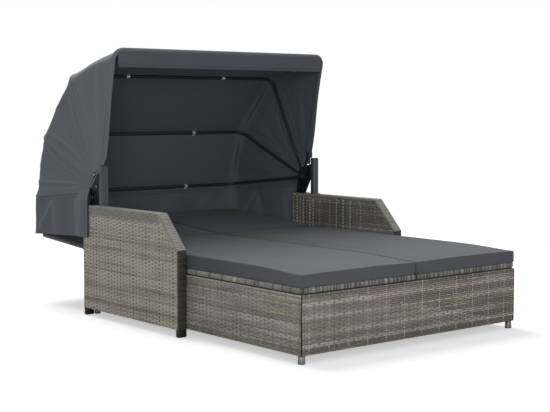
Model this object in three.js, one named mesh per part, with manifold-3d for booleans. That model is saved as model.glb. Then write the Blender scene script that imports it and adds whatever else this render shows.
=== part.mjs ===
import * as THREE from 'three';
import { mergeGeometries, mergeVertices } from 'three/addons/utils/BufferGeometryUtils.js';
import Module from 'manifold-3d';

// Outdoor daybed for two with a folding canopy.
// Millimetres, +Z up, +Y towards the canopy, +X to the right of someone who looks at it from the foot end.
// While it is built, Y counts from the front of the woven base. The last lines centre it.

const wasm = await Module();
wasm.setup();

// Bed
const bedWidth = 1200;
const baseLength = 1470;
const hingeSetback = 168; // hinge pins of the backrests to the rear of the base
const backLength = 684; // hinge pin to the end of a backrest frame
const restTilt = 4; // degrees that a lowered backrest still rises

// Base frame and its woven skins
const groundGap = 33; // floor to the lowest woven row
const railTop = 264;
const railSize = 20;
const lowerRailRise = 3; // lower rails above the lowest woven row
const centreBeamWidth = 40;
const hingeRailSetback = 28; // hinge rail's middle in front of the hinge line
const rearRailTop = 254;
const skinThickness = 4;
const skinTopGap = 5;
const legDiameter = 25;
const legCapHeight = 14;
const legCapWall = 1.2;
const legCapFloor = 3;

// Seat and backrest frames
const frameTube = 19;
const frameCorner = 20;
const frameEdge = 4;
const middleGap = 4; // between the left and right seat frames
const backSideGap = 25; // base side to backrest side
const slatWidth = 30;
const slatHeight = 12;
const seatSlats = 7;
const backSlats = 4;
const backFirstSlat = 135; // hinge pin to the middle of the first slat
const backSlatPitch = 134;
const hingePinDiameter = 5.6;
const hingeBore = 6.4;
const hingeBarrel = 10.4;
const hingeLugDepth = 8;
const barrelLength = 16;
const hingeDistance = 350; // from one hinge of a backrest to the other

// Prop stays, their lugs and racks
const propReach = 120; // hinge line to the stay's pivot, and the stay's own length
const propDrop = 24; // hinge pin to the stay's pivot, downwards
const propRod = 8;
const propWidth = 150;
const propAngle = 7.97; // degrees that a lowered stay rises
const propBore = 9.2;
const lugThickness = 4;
const lugHeight = 18;
const rackThickness = 4;
const rackDepth = 14;
const rackLand = 10; // middle of the nearest notch to the rack's end
const rackShare = 0.4; // of the stay's width, from its middle to each rack
const notchRadius = 4.6;
const notchShares = [0, 0.25, 0.5, 0.75, 1]; // of the backrest's travel
const backTravel = 45;
const bufferDiameter = 16;
const bufferInset = 4.5; // middle of a buffer to the middle of the tube that it carries

// Pads
const padThickness = 54;
const padCrown = 10;
const padDrawIn = 5;
const padEdge = 4;
const seatPadCorner = 3; // how far a pad's corners are drawn in
const backPadCorner = 14;
const padGap = 1.5; // half of the gap at each seam
const seatPadOverhang = 4;
const backPadEndInset = 13.25; // end of a backrest frame to the end of its pad
const backPadInset = 10; // side of the bed to the side of a back pad

// Armrests
const armFront = 720; // front of the base to the front of an armrest
const armHeight = 503;
const armFrontHeight = 361;
const armSlopeRun = 135;
const armTubeWidth = 40;
const armTubeDepth = 20;
const armSkin = 1.25;
const armFootHeight = 30;
const armFootTaper = 3;

// Posts and pivot brackets
const postFromRear = 148; // rear of the base to the middle of a post
const postHeight = 183; // above the armrest
const postPlate = 3;
const postPlateLength = 44;
const postPlugHeight = 3;
const postPlugLip = 1;
const bracketSheet = 3;
const bracketWebInset = 11.65; // inner side of the armrest's tube to the bracket's upright sheet
const bracketFootLength = 72;
const bracketFootStart = 50; // rear face of the post to the bracket's foot
const bracketFlangeRise = 92; // armrest's top to the lower end of the bracket's flange
const bracketFlangeLength = 60;
const bracketRadius = 57;
const upperScrewReach = [23, 52]; // pivot to the two small bolts beside it, in Y and Z
const lowerScrewReach = [42, -51];
const screwHeadDiameter = 10;
const screwHeadHeight = 3;

// Canopy: the pivot, and from it the outer corners of the cloth at each bow, in Y and Z
const pivotBehindPost = 66;
const pivotAboveArm = 85;
const pivotBolt = 8;
const pivotBore = 8.8;
const pivotHeadDiameter = 15;
const pivotHeadHeight = 5;
const frontCornerReach = [-143, 616];
const secondCornerReach = [262, 502];
const thirdCornerReach = [527, 224];
const rearBowDrop = 66; // pivot down to the cloth at the rear bow
const rearBowGap = 6; // end of a lowered backrest to the cloth at the rear bow
const bowTube = 16;
const bowBend = 45;
const bowTubeStart = 112; // pivot to the end of the round tube
const bowTabStart = 132; // pivot to the inner end of the flattened tab
const bowTabThickness = 3;
const bowTabGap = 0.5;
const clothThickness = 1.6;
const clothSideOffset = 10; // tube's middle to the outside of the cloth, at the sides
const clothTopOffset = 12; // the same, along the cross tubes
const clothSag = 9;
const sideSag = 6;
const cutoutAtFront = 62; // pivot to the cloth's inner edge, at the front bow
const cutoutAtRear = 96;
const snapDiameter = 13;
const snapHeight = 2;
const snapSpread = 570;

// Valance and skirt
const valanceSideGap = 13; // middle of the bow's side tube to the end of the valance
const valanceTopDrop = 14;
const valanceDrop = 72;
const valanceStandOff = 5.4;
const valanceWave = 2;
const skirtFrontTopReach = 30; // rear of the base to the top and bottom of the skirt's front edge
const skirtFrontBottomReach = -22;
const skirtHemFrontDrop = 229; // pivot down to the hem, at its front and at the rear
const skirtHemRearDrop = 258;
const skirtTopDrop = 0.6;
const skirtFlare = 10;
const skirtArmGap = 1.8; // between the skirt and the outside of an armrest
const armFlareFade = 110;
const skirtCorner = 55;
const skirtFold = 6;

const fitGap = 0.3;
const cutOverrun = 2;
const radialSides = 12;
const hexSides = 6;
const shankSides = 8;

const hingeLine = baseLength - hingeSetback;
const postMiddle = baseLength - postFromRear;
const postTop = armHeight + postHeight;
const bracketFlangeBottom = armHeight + bracketFlangeRise;
const bracketFlangeTop = bracketFlangeBottom + bracketFlangeLength;
const pivotY = postMiddle + pivotBehindPost;
const pivotZ = armHeight + pivotAboveArm;
const fromPivotTo = ([y, z]) => [pivotY + y, pivotZ + z];
const upperScrew = fromPivotTo(upperScrewReach);
const lowerScrew = fromPivotTo(lowerScrewReach);
const frontCorner = fromPivotTo(frontCornerReach);
const secondCorner = fromPivotTo(secondCornerReach);
const thirdCorner = fromPivotTo(thirdCornerReach);
const rearCorner = [hingeLine + backLength + rearBowGap, pivotZ - rearBowDrop];
const skirtFrontTop = baseLength + skirtFrontTopReach;
const skirtFrontBottom = baseLength + skirtFrontBottomReach;

const halfBed = bedWidth / 2;
const legRadius = legDiameter / 2;
const frameBottom = railTop + fitGap;
const frameTop = frameBottom + frameTube;
const hingeGap = hingeBarrel / 2 + fitGap;

const material = (color, roughness, metalness) => new THREE.MeshStandardMaterial({ color, roughness, metalness });
const materials = {
	wicker: material(0x7f776d, 0.7, 0),
	wickerShade: material(0x6c655c, 0.75, 0),
	tube: material(0x47494b, 0.5, 0.4),
	post: material(0x4b4c4e, 0.45, 0.4),
	bracket: material(0x26282a, 0.4, 0.6),
	steel: material(0x9a9c9e, 0.35, 0.9),
	plastic: material(0x1d1d1d, 0.6, 0),
	pad: material(0x565a60, 0.9, 0),
	canopy: material(0x53585d, 0.85, 0),
	snap: material(0xb4b6b8, 0.4, 0.3),
};

// Helpers

function add(parent, name, geometry, finish) {
	const mesh = new THREE.Mesh(geometry, finish);
	mesh.name = name;
	parent.add(mesh);
	return mesh;
}

function bare(geometry) {
	const plain = geometry.index ? geometry.clone() : mergeVertices(geometry.clone());
	plain.deleteAttribute('normal');
	plain.deleteAttribute('uv');
	return mergeVertices(plain);
}

function together(geometries) {
	return mergeGeometries(geometries.map(bare));
}

function solid(geometry) {
	const merged = bare(geometry);
	return new wasm.Manifold(new wasm.Mesh({
		numProp: 3,
		vertProperties: new Float32Array(merged.attributes.position.array),
		triVerts: new Uint32Array(merged.index.array),
	}));
}

function toGeometry(body) {
	const mesh = body.getMesh();
	const geometry = new THREE.BufferGeometry();
	geometry.setAttribute('position', new THREE.BufferAttribute(mesh.vertProperties, 3));
	geometry.setIndex(new THREE.BufferAttribute(mesh.triVerts, 1));
	return geometry;
}

function joined(geometries) {
	return geometries.map(solid).reduce((sum, next) => sum.add(next));
}

function box(x, y, z) {
	const geometry = new THREE.BoxGeometry(x[1] - x[0], y[1] - y[0], z[1] - z[0]);
	return geometry.translate((x[0] + x[1]) / 2, (y[0] + y[1]) / 2, (z[0] + z[1]) / 2);
}

function around(middle, size) {
	return [middle - size / 2, middle + size / 2];
}

function spanOn(side, inner, outer) {
	return side < 0 ? [-outer, -inner] : [inner, outer];
}

function rodAlongX(radius, x, y = 0, z = 0, sides = radialSides) {
	const geometry = new THREE.CylinderGeometry(radius, radius, x[1] - x[0], sides);
	return geometry.rotateZ(Math.PI / 2).translate((x[0] + x[1]) / 2, y, z);
}

function rodAlongY(radius, y, x = 0, z = 0, sides = radialSides) {
	const geometry = new THREE.CylinderGeometry(radius, radius, y[1] - y[0], sides);
	return geometry.translate(x, (y[0] + y[1]) / 2, z);
}

function rodAlongZ(radius, z, x = 0, y = 0, sides = radialSides) {
	const geometry = new THREE.CylinderGeometry(radius, radius, z[1] - z[0], sides);
	return geometry.rotateX(Math.PI / 2).translate(x, y, (z[0] + z[1]) / 2);
}

// Outline drawn in Y and Z, extruded along X
function plateAlongX(outline, x, curveSegments = radialSides / 2) {
	const geometry = new THREE.ExtrudeGeometry(outline, {
		depth: x[1] - x[0], bevelEnabled: false, curveSegments,
	});
	const turn = new THREE.Matrix4().makeBasis(
		new THREE.Vector3(0, 1, 0), new THREE.Vector3(0, 0, 1), new THREE.Vector3(1, 0, 0));
	return geometry.applyMatrix4(turn).translate(x[0], 0, 0);
}

function polygon(points) {
	return new THREE.Shape(points.map(([a, b]) => new THREE.Vector2(a, b)));
}

const radians = THREE.MathUtils.degToRad;
const smooth = THREE.MathUtils.smoothstep;
const lerp = THREE.MathUtils.lerp;

const daybed = new THREE.Group();
const sides = [[-1, 'left'], [1, 'right']];

// Base: legs, rails and woven skins

const legInset = skinThickness + fitGap + legRadius;
const legX = halfBed - legInset;
const legY = { front: legInset, rear: baseLength - legInset };
const capRadius = legRadius + legCapWall;
const railAround = (middle) => around(middle, railSize);
const lowerRail = [groundGap + lowerRailRise, groundGap + lowerRailRise + railSize];
const upperRail = [railTop - railSize, railTop];
const rearRail = [rearRailTop - railSize, rearRailTop];
const hingeRailY = hingeLine - hingeRailSetback;

const legEnds = Object.entries(legY);
const propY = hingeLine + propReach;
const propZ = frameTop - propDrop;
const propLugX = propWidth / 2 + propRod / 2 + fitGap + lugThickness / 2;
const backWidth = halfBed - backSideGap - middleGap / 2;
const backMiddle = (side) => side * (middleGap / 2 + backWidth / 2);

// Lug that carries one end of a prop stay, welded to the rear rail
function propLug(x) {
	const outline = polygon([
		[propY - propBore, propZ - lugHeight / 2], [legY.rear, rearRail[0] + lugThickness],
		[legY.rear, rearRail[1]], [propY + propBore, propZ + lugHeight / 2],
		[propY - propBore, propZ + lugHeight / 2],
	]);
	outline.holes.push(new THREE.Path().absarc(propY, propZ, propBore / 2, 0, Math.PI * 2, true));
	return plateAlongX(outline, around(x, lugThickness));
}

const sideLength = [legY.front, legY.rear];
const acrossBase = [-legX, legX];
add(daybed, 'base_frame', toGeometry(joined([
	...sides.flatMap(([side]) => legEnds.map(([, y]) =>
		rodAlongZ(legRadius, [legCapFloor + fitGap, railTop], side * legX, y))),
	...sides.flatMap(([side]) => [upperRail, lowerRail].map((z) =>
		box(railAround(side * legX), sideLength, z))),
	box(acrossBase, railAround(legY.front), upperRail),
	box(acrossBase, railAround(hingeRailY), upperRail),
	box(acrossBase, railAround(legY.rear), rearRail),
	...legEnds.map(([, y]) => box(acrossBase, railAround(y), lowerRail)),
	box(around(0, centreBeamWidth), [legY.front, hingeRailY], upperRail),
	...sides.flatMap(([side]) => [-propLugX, propLugX].map((x) => propLug(backMiddle(side) + x))),
])), materials.tube);

function legCap(x, y) {
	const cup = solid(rodAlongZ(capRadius, [0, legCapHeight], x, y));
	const socket = [legCapFloor, legCapHeight + cutOverrun];
	return toGeometry(cup.subtract(solid(rodAlongZ(legRadius + fitGap, socket, x, y))));
}

for (const [side, word] of sides) {
	for (const [end, y] of legEnds) {
		add(daybed, `${end}_${word}_leg_cap`, legCap(side * legX, y), materials.plastic);
	}
}

const corner = (x, y) => [[-x, y[0]], [x, y[0]], [x, y[1]], [-x, y[1]]];
const skinOutline = polygon(corner(halfBed, [0, baseLength]));
skinOutline.holes.push(polygon(corner(halfBed - skinThickness, [skinThickness, baseLength - skinThickness])));
add(daybed, 'base_weave', new THREE.ExtrudeGeometry(skinOutline, {
	depth: railTop - skinTopGap - groundGap, bevelEnabled: false,
}).translate(0, 0, groundGap), materials.wicker);

// Ladder frames of the seats and backrests. The hinge pins lie on their X axis; reach is -1 towards the
// foot end and 1 towards the canopy, and the frame's top is at zero.

const seatWidth = halfBed - middleGap / 2;
const seatLength = hingeLine - hingeGap;
const seatMiddle = (side) => side * (middleGap / 2 + seatWidth / 2);
const hingePlaces = [-hingeDistance / 2, hingeDistance / 2];
const barrelReach = barrelLength * 1.5 + fitGap;

function roundedRect(x, y, corner) {
	const outline = new THREE.Shape();
	outline.moveTo(x[0] + corner, y[0]);
	outline.lineTo(x[1] - corner, y[0]);
	outline.absarc(x[1] - corner, y[0] + corner, corner, -Math.PI / 2, 0);
	outline.lineTo(x[1], y[1] - corner);
	outline.absarc(x[1] - corner, y[1] - corner, corner, 0, Math.PI / 2);
	outline.lineTo(x[0] + corner, y[1]);
	outline.absarc(x[0] + corner, y[1] - corner, corner, Math.PI / 2, Math.PI);
	outline.lineTo(x[0], y[0] + corner);
	outline.absarc(x[0] + corner, y[0] + corner, corner, Math.PI, Math.PI * 1.5);
	return outline;
}

function frameRing(x, y) {
	const outline = roundedRect(x, y, frameCorner);
	const inner = [[x[0] + frameTube, x[1] - frameTube], [y[0] + frameTube, y[1] - frameTube]];
	outline.holes.push(polygon([
		[inner[0][0], inner[1][0]], [inner[0][1], inner[1][0]],
		[inner[0][1], inner[1][1]], [inner[0][0], inner[1][1]],
	]));
	return new THREE.ExtrudeGeometry(outline, {
		depth: frameTube - 2 * frameEdge, bevelThickness: frameEdge, bevelSize: frameEdge,
		bevelOffset: -frameEdge, bevelSegments: 1, curveSegments: 3,
	}).translate(0, 0, frameEdge - frameTube);
}

function barrel(x, reach) {
	const lug = reach < 0 ? [-hingeGap - cutOverrun, 0] : [0, hingeGap + cutOverrun];
	const welded = joined([rodAlongX(hingeBarrel / 2, x), box(x, lug, [-hingeLugDepth, 0])]);
	return welded.subtract(solid(rodAlongX(hingeBore / 2, [x[0] - cutOverrun, x[1] + cutOverrun])));
}

function ladderFrame(width, y, slatMiddles, barrelSpans, reach) {
	const x = [-width / 2, width / 2];
	const slatX = [x[0] + frameTube / 2, x[1] - frameTube / 2];
	const slats = slatMiddles.map((middle) => box(slatX, around(middle, slatWidth), [-slatHeight, 0]));
	const frame = joined([frameRing(x, y), ...slats]);
	return barrelSpans.reduce((sum, span) => sum.add(barrel(span, reach)), frame);
}

const seatSlatPitch = seatLength / (seatSlats + 1);
const seatSlatMiddles = Array.from({ length: seatSlats }, (_, i) => -hingeGap - (i + 1) * seatSlatPitch);
const backSlatMiddles = Array.from({ length: backSlats }, (_, i) => backFirstSlat + i * backSlatPitch);

// The seat frame has the two outer barrels of each hinge, and the backrest the middle one
function seatFrame(side) {
	const shift = backMiddle(side) - seatMiddle(side);
	const spans = hingePlaces.flatMap((place) =>
		[place + shift + barrelLength / 2 + fitGap, place + shift - barrelReach]
			.map((start) => [start, start + barrelLength]));
	return toGeometry(ladderFrame(seatWidth, [-hingeLine, -hingeGap], seatSlatMiddles, spans, -1));
}

// Pads: crowned, with sides that draw in between the corners

function pad(width, length, corner, counts) {
	const geometry = new THREE.BoxGeometry(1, 1, 1, ...counts);
	const place = geometry.attributes.position;
	for (let i = 0; i < place.count; i++) {
		const a = Math.sin(place.getX(i) * Math.PI);
		const b = Math.sin(place.getY(i) * Math.PI);
		const c = place.getZ(i) + 1 / 2;
		const wall = Math.abs(a) > 1 - Number.EPSILON || Math.abs(b) > 1 - Number.EPSILON;
		const rim = wall && (c < Number.EPSILON || c > 1 - Number.EPSILON);
		const edge = (rim ? padEdge : 0) + corner * (a * b) ** 8;
		const x = a * (width / 2 - edge) * (1 - (1 - b * b) * padDrawIn / width);
		const y = b * (length / 2 - edge) * (1 - (1 - a * a) * padDrawIn / length);
		const crown = padCrown * (1 - b ** 6) * (1 - Math.abs(a ** 5) / 2);
		const level = rim ? lerp(padEdge / 2, padThickness - padEdge / 2 + crown * c, c) : c * (padThickness + crown);
		place.setXYZ(i, x, y, level);
	}
	return bare(geometry);
}

const seatPadGrid = [8, 14, 3];
const backPadGrid = [8, 8, 3];
const seatPadWidth = halfBed - padGap / 2;
const seatPadLength = hingeLine + seatPadOverhang - padGap * 2;
const backPadLength = backLength - backPadEndInset - hingeGap / 2;
const backPadWidth = halfBed - backPadInset - padGap / 2;

for (const [side, word] of sides) {
	const frame = add(daybed, `${word}_seat_frame`, seatFrame(side), materials.tube);
	frame.position.set(seatMiddle(side), hingeLine, frameTop);
	const cushion = add(daybed, `${word}_seat_pad`,
		pad(seatPadWidth, seatPadLength, seatPadCorner, seatPadGrid), materials.pad);
	cushion.position.set(side * (padGap / 2 + seatPadWidth / 2),
		seatPadLength / 2 - seatPadOverhang, frameTop + fitGap);
}

// Backrests, with their racks, and the prop stays behind them

// Where the stay's cross bar lies under a backrest at this angle, measured from the hinge pin
function propPlace(degrees) {
	const angle = radians(degrees);
	const pivotAlong = propReach * Math.cos(angle) - propDrop * Math.sin(angle);
	const pivotUp = -propReach * Math.sin(angle) - propDrop * Math.cos(angle);
	return pivotAlong + Math.sqrt(propReach ** 2 - (propDrop + pivotUp) ** 2);
}

function rack(x) {
	const places = notchShares.map((share) => propPlace(restTilt + share * backTravel)).reverse();
	const outline = new THREE.Shape();
	outline.moveTo(places[0] - rackLand, rackDepth);
	outline.lineTo(places[0] - rackLand, 0);
	for (const place of places) {
		outline.absarc(place, 0, notchRadius, Math.PI, 0, true);
	}
	outline.lineTo(backSlatMiddles[1] - slatWidth / 4, 0);
	outline.lineTo(backSlatMiddles[1] - slatWidth / 4, rackDepth);
	return plateAlongX(outline, around(x, rackThickness), 3).translate(0, 0, -frameTube);
}

function backFrame() {
	const spans = hingePlaces.map((place) => around(place, barrelLength));
	const frame = ladderFrame(backWidth, [hingeGap, backLength], backSlatMiddles, spans, 1);
	const rackX = propWidth * rackShare;
	return toGeometry(frame.add(solid(rack(-rackX))).add(solid(rack(rackX))));
}

function propStay() {
	const radius = propRod / 2;
	const armX = propWidth / 2;
	const barEnd = propLugX + lugThickness;
	return toGeometry(joined([
		rodAlongX(radius, [-barEnd, barEnd]),
		rodAlongX(radius, [-armX - radius, armX + radius], propReach),
		rodAlongY(radius, [0, propReach], -armX),
		rodAlongY(radius, [0, propReach], armX),
	]));
}

const bufferY = legY.rear;
const bufferTop = frameTop - frameTube / Math.cos(radians(restTilt))
	+ (bufferY - bufferDiameter / 2 - hingeLine) * Math.tan(radians(restTilt)) - fitGap;
const bufferX = backWidth / 2 - frameTube / 2 - bufferInset;
const rodHalf = hingeDistance / 2 + barrelReach;

for (const [side, word] of sides) {
	const backrest = new THREE.Group();
	backrest.position.set(backMiddle(side), hingeLine, frameTop);
	backrest.rotation.x = radians(restTilt);
	daybed.add(backrest);
	add(backrest, `${word}_back_frame`, backFrame(), materials.tube);

	const cushion = add(backrest, `${word}_back_pad`,
		pad(backPadWidth, backPadLength, backPadCorner, backPadGrid), materials.pad);
	cushion.position.set(side * (padGap / 2 + backPadWidth / 2) - backMiddle(side),
		hingeGap / 2 + backPadLength / 2, fitGap);

	const stay = new THREE.Group();
	stay.position.set(backMiddle(side), propY, propZ);
	stay.rotation.x = radians(propAngle);
	daybed.add(stay);
	add(stay, `${word}_prop_stay`, propStay(), materials.steel);

	add(daybed, `${word}_hinge_rod`, rodAlongX(hingePinDiameter / 2,
		around(backMiddle(side), 2 * rodHalf), hingeLine, frameTop), materials.steel);
	for (const [place, end] of [[side * bufferX, 'outer'], [-side * bufferX, 'inner']]) {
		add(daybed, `${word}_${end}_rest_buffer`, rodAlongZ(bufferDiameter / 2,
			[rearRailTop, bufferTop], backMiddle(side) + place, bufferY), materials.plastic);
	}
}

// Armrests: tubes inside, a woven skin on each face, square feet

const armInner = halfBed + fitGap;
const armTubeX = [armInner + armSkin + fitGap, armInner + armSkin + fitGap + armTubeWidth];
const armOuter = armTubeX[1] + fitGap + armSkin;
const armRear = baseLength;
const slopeEnd = armFront + armSlopeRun;
const slopeBarRun = armTubeDepth / Math.sin(Math.atan2(armHeight - armFrontHeight, armSlopeRun));
const armOutline = [
	[armFront, groundGap], [armRear, groundGap], [armRear, armHeight],
	[slopeEnd, armHeight], [armFront, armFrontHeight],
];

function armFoot(x, y) {
	const foot = new THREE.BoxGeometry(x[1] - x[0], y[1] - y[0], armFootHeight, 1, 1, 3);
	foot.translate((x[0] + x[1]) / 2, (y[0] + y[1]) / 2, armFootHeight / 2);
	const place = foot.attributes.position;
	for (let i = 0; i < place.count; i++) {
		const low = place.getZ(i) < armFootHeight / 2;
		const bottom = place.getZ(i) < armFootTaper;
		if (low && !bottom) {
			place.setZ(i, armFootTaper);
		}
		if (bottom) {
			place.setX(i, place.getX(i) - Math.sign(place.getX(i) - (x[0] + x[1]) / 2) * armFootTaper);
			place.setY(i, place.getY(i) - Math.sign(place.getY(i) - (y[0] + y[1]) / 2) * armFootTaper);
		}
	}
	return foot;
}

for (const [side, word] of sides) {
	const tubeX = spanOn(side, ...armTubeX);
	const frontTube = [armFront, armFront + armTubeDepth];
	const rearTube = [armRear - armTubeDepth, armRear];
	const tubeBottom = armFootHeight + fitGap;
	const betweenUprights = [(frontTube[0] + frontTube[1]) / 2, (rearTube[0] + rearTube[1]) / 2];
	const slopeBar = plateAlongX(polygon([
		[armFront, armFrontHeight], [armFront + slopeBarRun, armFrontHeight],
		[slopeEnd + slopeBarRun, armHeight], [slopeEnd, armHeight],
	]), tubeX);
	add(daybed, `${word}_armrest_frame`, toGeometry(joined([
		box(tubeX, frontTube, [tubeBottom, armFrontHeight]),
		box(tubeX, rearTube, [tubeBottom, armHeight]),
		slopeBar,
		box(tubeX, [slopeEnd, betweenUprights[1]], [armHeight - armTubeDepth, armHeight]),
		box(tubeX, betweenUprights, [groundGap + lowerRailRise, groundGap + lowerRailRise + armTubeDepth]),
	])), materials.tube);
	add(daybed, `${word}_armrest_inner_weave`,
		plateAlongX(polygon(armOutline), spanOn(side, armInner, armInner + armSkin)), materials.wickerShade);
	add(daybed, `${word}_armrest_outer_weave`,
		plateAlongX(polygon(armOutline), spanOn(side, armOuter - armSkin, armOuter)), materials.wicker);
	add(daybed, `${word}_armrest_front_foot`, armFoot(tubeX, frontTube), materials.plastic);
	add(daybed, `${word}_armrest_rear_foot`, armFoot(tubeX, rearTube), materials.plastic);
}

// Posts on the armrests and the brackets that carry the canopy

const armMiddle = (armTubeX[0] + armTubeX[1]) / 2;
const postY = around(postMiddle, armTubeDepth);
const plateZ = [armHeight + fitGap, armHeight + fitGap + postPlate];
const webInner = armTubeX[0] + bracketWebInset;
const webX = [webInner, webInner + bracketSheet];
const flangeY = [postY[1] + fitGap, postY[1] + fitGap + bracketSheet];
const bracketFootY = [postY[1] + bracketFootStart, postY[1] + bracketFootStart + bracketFootLength];
const screwShank = screwHeadDiameter / 4;

function webOutline() {
	const outline = new THREE.Shape();
	outline.moveTo(flangeY[0], bracketFlangeBottom);
	outline.lineTo(bracketFootY[0], plateZ[0]);
	outline.lineTo(bracketFootY[1], plateZ[0]);
	outline.absarc(pivotY, pivotZ, bracketRadius, radians(-25), radians(95));
	outline.lineTo(flangeY[0], bracketFlangeTop);
	outline.holes.push(new THREE.Path().absarc(pivotY, pivotZ, pivotBore / 2, 0, Math.PI * 2, true));
	return outline;
}

function bracket(side) {
	const tubeX = spanOn(side, ...armTubeX);
	const web = spanOn(side, ...webX);
	const body = joined([
		plateAlongX(webOutline(), web),
		rodAlongX(screwHeadDiameter, web, ...upperScrew),
		box(tubeX, flangeY, [bracketFlangeBottom, bracketFlangeTop]),
		box(tubeX, bracketFootY, plateZ),
	]);
	const bore = [web[0] - cutOverrun, web[1] + cutOverrun];
	return toGeometry([upperScrew, lowerScrew].reduce((sum, place) =>
		sum.subtract(solid(rodAlongX(screwShank + fitGap, bore, ...place, shankSides))), body));
}

// Its shank ends flush with the inner face of the bracket, clear of the bows
function bracketScrew(side, place) {
	const head = [webX[1] + fitGap, webX[1] + fitGap + screwHeadHeight];
	return toGeometry(joined([
		rodAlongX(screwHeadDiameter / 2, spanOn(side, ...head), ...place, hexSides),
		rodAlongX(screwShank, spanOn(side, webX[0], head[1] - screwHeadHeight / 2), ...place, shankSides),
	]));
}

const tabStackDepth = 4 * (bowTabThickness + bowTabGap);
const nutX = [webInner - tabStackDepth - fitGap - pivotHeadHeight, webInner - tabStackDepth - fitGap];
const headX = [webX[1] + fitGap, webX[1] + fitGap + pivotHeadHeight];

function pivotBoltGeometry(side) {
	return toGeometry(joined([
		rodAlongX(pivotHeadDiameter / 2, spanOn(side, ...headX), pivotY, pivotZ, hexSides),
		rodAlongX(pivotBolt / 2, spanOn(side, (nutX[0] + nutX[1]) / 2, (headX[0] + headX[1]) / 2), pivotY, pivotZ),
		rodAlongX(pivotHeadDiameter / 2, spanOn(side, ...nutX), pivotY, pivotZ, hexSides),
	]));
}

for (const [side, word] of sides) {
	add(daybed, `${word}_post`, toGeometry(joined([
		box(spanOn(side, ...armTubeX), postY, [plateZ[0], postTop - postPlugHeight]),
		box(spanOn(side, ...armTubeX), around(postMiddle, postPlateLength), plateZ),
	])), materials.post);
	add(daybed, `${word}_post_plug`, box(around(side * armMiddle, armTubeWidth - 2 * postPlugLip),
		around(postMiddle, armTubeDepth - 2 * postPlugLip),
		[postTop - postPlugHeight + fitGap, postTop]), materials.plastic);
	add(daybed, `${word}_pivot_bracket`, bracket(side), materials.bracket);
	add(daybed, `${word}_bracket_upper_screw`, bracketScrew(side, upperScrew), materials.steel);
	add(daybed, `${word}_bracket_lower_screw`, bracketScrew(side, lowerScrew), materials.steel);
	add(daybed, `${word}_pivot_bolt`, pivotBoltGeometry(side), materials.steel);
}

// Canopy bows: bent tubes with flattened tabs that stack on the pivot bolts

class BentPath extends THREE.Curve {
	constructor(points) {
		super();
		this.points = points;
	}

	getPoint(share, target = new THREE.Vector3()) {
		const place = THREE.MathUtils.clamp(share, 0, 1) * (this.points.length - 1);
		const first = Math.min(Math.floor(place), this.points.length - 2);
		return target.lerpVectors(this.points[first], this.points[first + 1], place - first);
	}

	getUtoTmapping(share) {
		return share;
	}
}

const bowHalfWidth = webInner - bowTabGap - bowTube / 2;

function bowPoints(height) {
	const points = [new THREE.Vector3(-bowHalfWidth, bowTubeStart, 0)];
	const steps = 5;
	for (const [side, from] of [[-1, Math.PI], [1, Math.PI / 2]]) {
		for (let i = 0; i <= steps; i++) {
			const angle = from - (i / steps) * Math.PI / 2;
			points.push(new THREE.Vector3(side * (bowHalfWidth - bowBend) + bowBend * Math.cos(angle),
				height - bowBend + bowBend * Math.sin(angle), 0));
		}
	}
	points.push(new THREE.Vector3(bowHalfWidth, bowTubeStart, 0));
	return points;
}

function bowTab(side, layer) {
	const half = bowTube / 2;
	const outer = webInner - bowTabGap - layer * (bowTabThickness + bowTabGap);
	const outline = new THREE.Shape();
	outline.moveTo(bowTabStart, -half);
	outline.lineTo(bowTabStart, half);
	outline.lineTo(0, half);
	outline.absarc(0, 0, half, Math.PI / 2, Math.PI * 1.5);
	outline.holes.push(new THREE.Path().absarc(0, 0, pivotBore / 2, 0, Math.PI * 2, true));
	return plateAlongX(outline, spanOn(side, outer - bowTabThickness, outer));
}

function bow(height, layer) {
	const points = bowPoints(height);
	const section = new THREE.Shape();
	section.absarc(0, 0, bowTube / 2, 0, Math.PI * 2);
	const tube = new THREE.ExtrudeGeometry(section, {
		steps: points.length - 1, extrudePath: new BentPath(points), curveSegments: 4,
	});
	return toGeometry(joined([tube, bowTab(-1, layer), bowTab(1, layer)]));
}

function fromPivot([y, z]) {
	return { reach: Math.hypot(y - pivotY, z - pivotZ), angle: Math.atan2(z - pivotZ, y - pivotY) };
}

const corners = { front: frontCorner, second: secondCorner, third: thirdCorner, rear: rearCorner };

Object.entries(corners).forEach(([word, corner], layer) => {
	const { reach, angle } = fromPivot(corner);
	const height = reach - clothTopOffset;
	const group = new THREE.Group();
	group.position.set(0, pivotY, pivotZ);
	group.rotation.x = angle;
	daybed.add(group);
	add(group, `${word}_bow`, bow(height, layer), materials.tube);
	if (word !== 'front') {
		const under = [height - bowTube / 2 - fitGap - snapHeight, height - bowTube / 2 - fitGap];
		for (const [side, end] of sides) {
			add(group, `${word}_bow_${end}_snap`,
				rodAlongY(snapDiameter / 2, under, side * snapSpread / 2, 0), materials.snap);
		}
	}
});

// Cloth: a thin closed shell over a grid of points on its outer face

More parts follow.
